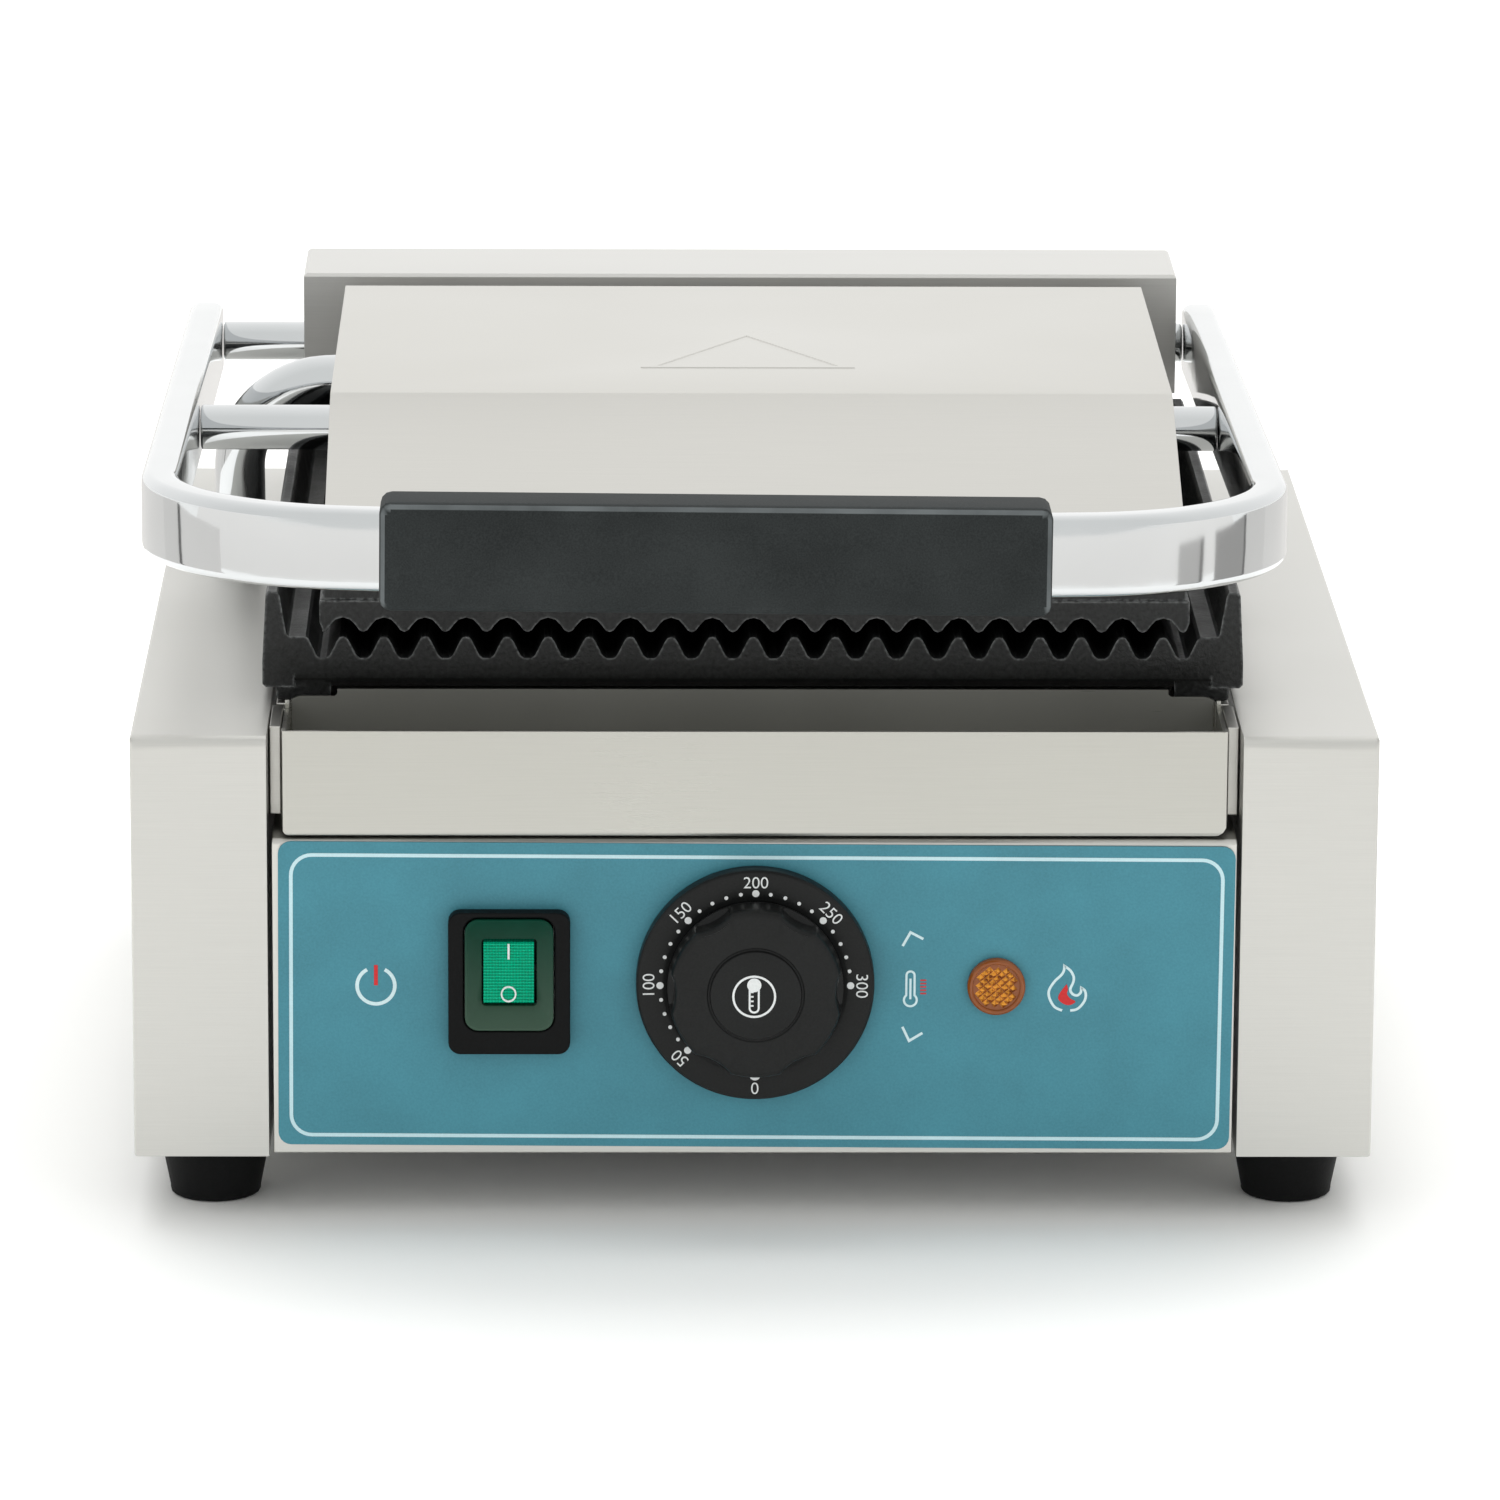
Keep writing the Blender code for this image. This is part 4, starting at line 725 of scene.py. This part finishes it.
# A thermometer in a circle.
bm = bmesh.new()
cx, cz = KNOB[0] - 0.4, KNOB[2] - 0.1
print_low, print_high = PANEL + CAP - 0.12, PANEL + CAP + 0.05
add_ribbon(bm, arc(cx, cz, 4.85, 0, 350, 35), 0.5, print_low, print_high, True)
add_prism(bm, arc(cx, cz + 2.75, 1.65, 0, 345, 23), PANEL + CAP - 0.11, print_high)
stem = [(cx - 1.05, cz + 2.2)] + arc(cx, cz - 2.75, 1.05, 270, 90, 14) + [(cx + 1.05, cz + 2.2)]
add_ribbon(bm, stem, 0.45, print_low, print_high)
for k in range(4):
    z = cz + 1.1 - 1.1 * k
    add_ribbon(bm, [(cx - 0.9, z), (cx - 0.15, z)], 0.38, print_low, print_high)
piece("cap_icon", bm, WHITE, "knob", (), 30.0)

bm = bmesh.new()
add_prism(bm, arc(KNOB[0], KNOB[2] - 21.4, 1.3, 90, 270, 14), PANEL - 5.75, PANEL - 5.3)
piece("dial_pointer", bm, WHITE, "knob", (), 30.0)


# ---- Switch --------------------------------------------------------------------------------------

SX, SZ = -57.1, 60.6
bm = bmesh.new()
# The cover's rings, as (Y, half width, half height, corner radius).
levels = (
    (-0.9, 10.3, 13.4, 3.2),
    (-5.2, 10.3, 13.4, 3.2),
    (-5.4, 10.1, 13.2, 3.1),
    (-5.4, 9.85, 12.9, 3.0),
    (-5.2, 9.6, 12.6, 2.9),
    (-2.6, 6.45, 8.1, 0.9),
    (-0.9, 6.35, 8.0, 0.8),
)
rings = [[at(x, y, z) for x, z in rounded(SX, SZ, *size, 8)] for y, *size in levels]
add_sweep(bm, rings, True)
piece("rocker_funnel", bm, GREEN, "base", ("rocker_cover",), 30.0)

ROCK_REST = math.radians(-5)
ROCK_Y = 2.0  # Y of the rocker's pivot


def rock(y, z):
    """A point of the rocker's own section, turned to its rest position."""
    turned_y = y * math.cos(ROCK_REST) - z * math.sin(ROCK_REST)
    return ROCK_Y + turned_y, SZ + y * math.sin(ROCK_REST) + z * math.cos(ROCK_REST)


# The key's front is hollow, with fine ribs across it.
section = [(-5.4, 6.9)]
RIBS, RIB_HEIGHT = 20, 0.2
pitch = 14.1 / RIBS
for k in range(RIBS):
    for share, rise in ((0.12, 0.0), (0.3, RIB_HEIGHT), (0.7, RIB_HEIGHT), (0.88, 0.0)):
        z = 6.7 - pitch * (k + share)
        section.append((-4.5 - 0.8 * (z / 7.4) ** 2 - rise, z))
section += [(-5.5, -7.46), (3.0, -7.2), (3.0, 7.2)]
bm = bmesh.new()
add_sweep(bm, [[at(x, *rock(y, z)) for y, z in section] for x in (SX - 6.0, SX + 5.75)])
piece("rocker_key", bm, GREEN_LIT, "switch", ("rocker",), 25.0)

# The on and off marks; the off mark leans with the key's curve.
bm = bmesh.new()
mark_x = SX - 0.15
y, z = rock(-5.3, 4.7)
add_ribbon(bm, [(mark_x, z - 1.9), (mark_x, z + 1.8)], 0.48, y - 0.15, y + 0.3)
bar = set(bm.verts)
y, z = rock(-5.3, -4.6)
z -= 0.8
add_ribbon(bm, arc(mark_x, z, 1.65, 0, 348, 29), 0.36, y - 0.3, y + 0.4, True)
for vertex in set(bm.verts) - bar:
    vertex.co.y += 0.22 * (vertex.co.z - z * MM)
piece("rocker_marks", bm, WHITE, "switch", (), 30.0)


# ---- Pilot lamp ----------------------------------------------------------------------------------

LX, LZ = 56.5, 57.0
bm = bmesh.new()
profile = [(0.01, 9.0), (5.5, 9.0), (5.5, -0.2), (6.7, -0.2), (6.8, -0.3), (6.8, -1.5), (6.7, -1.8)]
profile += [(6.45, -2.1), (6.2, -2.3), (5.9, -2.3), (5.6, -2.1), (5.45, -1.7), (0.01, -1.7)]
add_lathe(bm, profile, (LX, PANEL - 0.1, LZ), steps=96)
piece("lamp", bm, AMBER, "base", ("pilot_lens",), 20.0)

CELLS, CELL, LENS_R = 7, 1.4, 4.7
ASKEW = math.radians(40)


def facet_corner(u, v, y):
    """A point of the lens pattern, which is turned about the lamp's middle."""
    x = u * math.cos(ASKEW) - v * math.sin(ASKEW)
    z = u * math.sin(ASKEW) + v * math.cos(ASKEW)
    return at(LX + x, y, LZ + z)


# The lens is cut into small pyramids.
bm = bmesh.new()
rows = [(n - (CELLS - 1) / 2) * CELL for n in range(CELLS)]
reach = 0.495 * CELL
for u in rows:
    for v in rows:
        if math.hypot(u, v) > LENS_R:
            continue
        base = []
        for a, b in ((-1, -1), (1, -1), (1, 1), (-1, 1)):
            base.append(bm.verts.new(facet_corner(u + a * reach, v + b * reach, PANEL - 1.75)))
        top = bm.verts.new(facet_corner(u, v, PANEL - 2.65))
        bm.faces.new(base)
        for n in range(4):
            bm.faces.new((base[n], base[(n + 1) % 4], top))
piece("lamp_facets", bm, AMBER_LIT, "base", (), 10.0)


# ---- Printed panel -------------------------------------------------------------------------------

low, high = PANEL - 0.07, PANEL + 0.1
LEAN = math.radians(0.3)
LEAN_X, LEAN_Z = 1.2, 54.0


def lean_points(points):
    """Points turned about the overlay's middle, because the border leans with the overlay."""
    made = []
    for x, z in points:
        dx, dz = x - LEAN_X, z - LEAN_Z
        x = LEAN_X + dx * math.cos(LEAN) + dz * math.sin(LEAN)
        z = LEAN_Z + dz * math.cos(LEAN) - dx * math.sin(LEAN)
        made.append((x, z))
    return made


def smoothed(points, closed, sharp=()):
    """A Catmull-Rom curve through the points, with a corner left at each place listed as sharp."""
    count = len(points)
    made = []
    for k in range(count if closed else count - 1):
        ends = []
        for n in (k - 1, k, k + 1, k + 2):
            ends.append(points[n % count] if closed else points[min(max(n, 0), count - 1)])
        if k in sharp:
            ends[0] = ends[1]
        if (k + 1) % count in sharp:
            ends[3] = ends[2]
        for t in (0.0, 0.25, 0.5, 0.75):
            w = (-t + 2 * t**2 - t**3, 2 - 5 * t**2 + 3 * t**3, t + 4 * t**2 - 3 * t**3, t**3 - t**2)
            made.append(tuple(0.5 * sum(a * p[i] for a, p in zip(w, ends)) for i in range(2)))
    return made if closed else made + [points[-1]]


bm = bmesh.new()
add_ribbon(bm, lean_points(rounded(0.45, 53.9, 108.45, 33.9, 4.9, 8)), 0.85, low, high, True)
piece("panel_line", bm, LINE, "base", (), 30.0)

# The power ring, the arrows up and down, and the thermometer between them.
bm = bmesh.new()
add_ribbon(bm, arc(-88.2, 56.8, 4.4, 28, 332, 36), 0.85, low, high)
add_ribbon(bm, [(34.6, 66.5), (36.4, 69.8), (39.4, 68.2)], 0.6, low, high)
add_ribbon(bm, [(34.7, 46.9), (36.3, 43.5), (39.4, 45.4)], 0.6, low, high)
stem = arc(36.5, 59.4, 0.95, -90, 90, 10) + arc(36.5, 53.4, 1.5, 40, 320, 22)
add_ribbon(bm, stem, 0.5, low, high, True)
add_ribbon(bm, [(36.5, 53.6), (36.5, 58.6)], 0.5, low, high)
piece("panel_icons", bm, PALE, "base", (), 30.0)

# The red parts: the power ring's bar, the thermometer's ticks and the flame's core.
bm = bmesh.new()
add_ribbon(bm, [(-88.2, 56.9), (-88.2, 61.8)], 0.9, low, high)
for k in range(5):
    z = 55.0 + 0.8 * k
    add_ribbon(bm, [(38.8, z), (40.2, z)], 0.32, low, high)
core = [(73.0, 57.3), (72.0, 56.0), (71.2, 54.7), (71.1, 53.6), (72.0, 52.7), (73.2, 52.2), (74.3, 52.4)]
core += [(75.1, 53.1), (73.9, 53.8), (73.1, 54.9), (73.3, 56.1)]
add_prism(bm, smoothed(core, True, (0,)), low, high)
piece("panel_icons_red", bm, RED, "base", (), 30.0)

bm = bmesh.new()
flame = [(72.0, 50.9), (70.3, 51.7), (69.2, 53.4), (68.8, 55.0), (69.1, 56.3), (70.2, 58.0), (71.7, 59.5)]
flame += [(72.3, 60.6), (72.4, 61.7), (73.8, 60.6), (74.6, 59.1), (74.5, 57.7), (73.9, 56.3), (74.0, 55.4)]
flame += [(74.7, 54.7), (75.6, 54.6), (76.3, 55.3), (76.4, 56.4), (77.2, 55.8), (77.5, 54.6), (77.2, 53.2)]
flame += [(76.2, 51.8), (75.2, 51.1), (73.9, 50.9)]
add_ribbon(bm, smoothed(flame, False, (8, 17)), 0.6, low, high)
piece("panel_flame", bm, PALE, "base", (), 30.0)


# ---- Setting -------------------------------------------------------------------------------------

bm = bmesh.new()
for x, y in ((-6, -4), (6, -4), (6, 9), (-6, 9)):
    bm.verts.new((x, y, -0.0002))
bm.faces.new(bm.verts)
floor_mesh = bpy.data.meshes.new("floor")
bm.to_mesh(floor_mesh)
bm.free()
floor = bpy.data.objects.new("floor", floor_mesh)
bpy.context.scene.collection.objects.link(floor)
made, tree, shader = blank("floor_paper")
tone = blend_colour(tree, noise(tree, spot(tree), 3.0), (0.945, 0.945, 0.935), (0.97, 0.97, 0.96))
tree.links.new(tone, shader.inputs["Base Color"])
shader.inputs["Roughness"].default_value = 0.6
shader.inputs["Specular IOR Level"].default_value = 0.3
# Painted light: the floor glows a little beyond about 0.19 m from the object's middle, up to 0.14 past 0.34
# m, so the shadow round it ends sooner.
away = add(tree, "VectorMath", {0: spot(tree)}, operation="LENGTH").outputs["Value"]
shader.inputs["Emission Color"].default_value = (1.0, 1.0, 1.0, 1.0)
tree.links.new(remap(tree, away, 0.19, 0.34, 0.0, 0.14), shader.inputs["Emission Strength"])
floor_mesh.materials.append(made)

# A bright white room, brightest behind the object.
world = bpy.data.worlds.new("studio")
world.use_nodes = True
tree = world.node_tree
background = tree.nodes["Background"]
direction = add(tree, "TexCoord").outputs["Generated"]
behind = remap(tree, xyz(tree, direction)["Y"], -0.4, 0.9, 0.0, 1.0)
sky = blend_colour(tree, behind, (0.9, 0.91, 0.9), (1.16, 1.16, 1.15))
tree.links.new(sky, background.inputs["Color"])
background.inputs["Strength"].default_value = 1.0
bpy.context.scene.world = world


light = bpy.data.lights.new("overhead", "AREA")
light.shape = "RECTANGLE"
light.size, light.size_y = 1.8, 1.2
light.energy = 17.0
overhead = bpy.data.objects.new("overhead", light)
overhead.location = (0.0, 0.55, 1.7)
overhead.rotation_mode = "QUATERNION"
overhead.rotation_quaternion = (-overhead.location).to_track_quat("-Z", "Y")
overhead.visible_glossy = False
bpy.context.scene.collection.objects.link(overhead)


def card(name, corners, level):
    """A studio card that only shows as a reflection in polished metal."""
    mesh = bpy.data.meshes.new(name)
    mesh.from_pydata(corners, [], [(0, 1, 2, 3)])
    item = bpy.data.objects.new(name, mesh)
    made, tree, shader = blank(name)
    shader.inputs["Base Color"].default_value = (0.0, 0.0, 0.0, 1.0)
    shader.inputs["Emission Color"].default_value = (level * 1.02, level, level * 0.97, 1.0)
    shader.inputs["Emission Strength"].default_value = 1.0
    mesh.materials.append(made)
    item.visible_camera = item.visible_diffuse = item.visible_shadow = item.visible_transmission = False
    bpy.context.scene.collection.objects.link(item)


def bearing(radius, degrees, height):
    """A place round the object, with bearing 0 in front of it and 90 to its right."""
    angle = math.radians(degrees)
    return (radius * math.sin(angle), -radius * math.cos(angle), height)


NEAR, FAR, FLOOR_CARD = 0.75, 4.0, 15
for number in range(12):
    start = -90 + FLOOR_CARD * number
    stop = start + FLOOR_CARD
    places = ((NEAR, start), (FAR, start), (FAR, stop), (NEAR, stop))
    card(f"card_floor_{number}", [bearing(*place, 0.002) for place in places], 0.93)

# Low cards round the object, as (start, end, level) in degrees; the dark ones draw the chrome's edges.
SIDE_CARDS = (
    (-91, -89, 0.1),
    (-89, -66, 0.85),
    (51, 60.5, 0.58),
    (60.5, 62, 0.15),
    (68, 85.5, 0.4),
    (85.5, 87, 0.15),
    (87, 104, 0.78),
    (104, 140, 0.86),
    (140, 176, 0.84),
    (-176, -140, 0.84),
    (-140, -104, 0.86),
    (-104, -91, 0.78),
)
for number, (start, stop, level) in enumerate(SIDE_CARDS):
    places = ((start, 0.003), (stop, 0.003), (stop, 0.125), (start, 0.125))
    card(f"card_side_{number}", [bearing(0.5, *place) for place in places], level)

camera = bpy.data.cameras.new("camera")
camera.sensor_width = 36.0
camera.lens = 215.92
camera.clip_start, camera.clip_end = 0.05, 60.0
viewer = bpy.data.objects.new("camera", camera)
yaw, pitch, roll = (math.radians(a) for a in (0.97058, 14.30252, 0.30556))
ahead = Vector((math.sin(yaw) * math.cos(pitch), math.cos(yaw) * math.cos(pitch), -math.sin(pitch)))
across = Vector((math.cos(yaw), -math.sin(yaw), 0))
upward = across.cross(ahead)
right = math.cos(roll) * across + math.sin(roll) * upward
top = -math.sin(roll) * across + math.cos(roll) * upward
turn = Matrix((right, top, -ahead)).transposed()
viewer.matrix_world = Matrix.Translation((-0.0354835, -2.1494537, 0.6288265)) @ turn.to_4x4()
bpy.context.scene.collection.objects.link(viewer)
bpy.context.scene.camera = viewer
bpy.context.scene.view_settings.view_transform = "Standard"
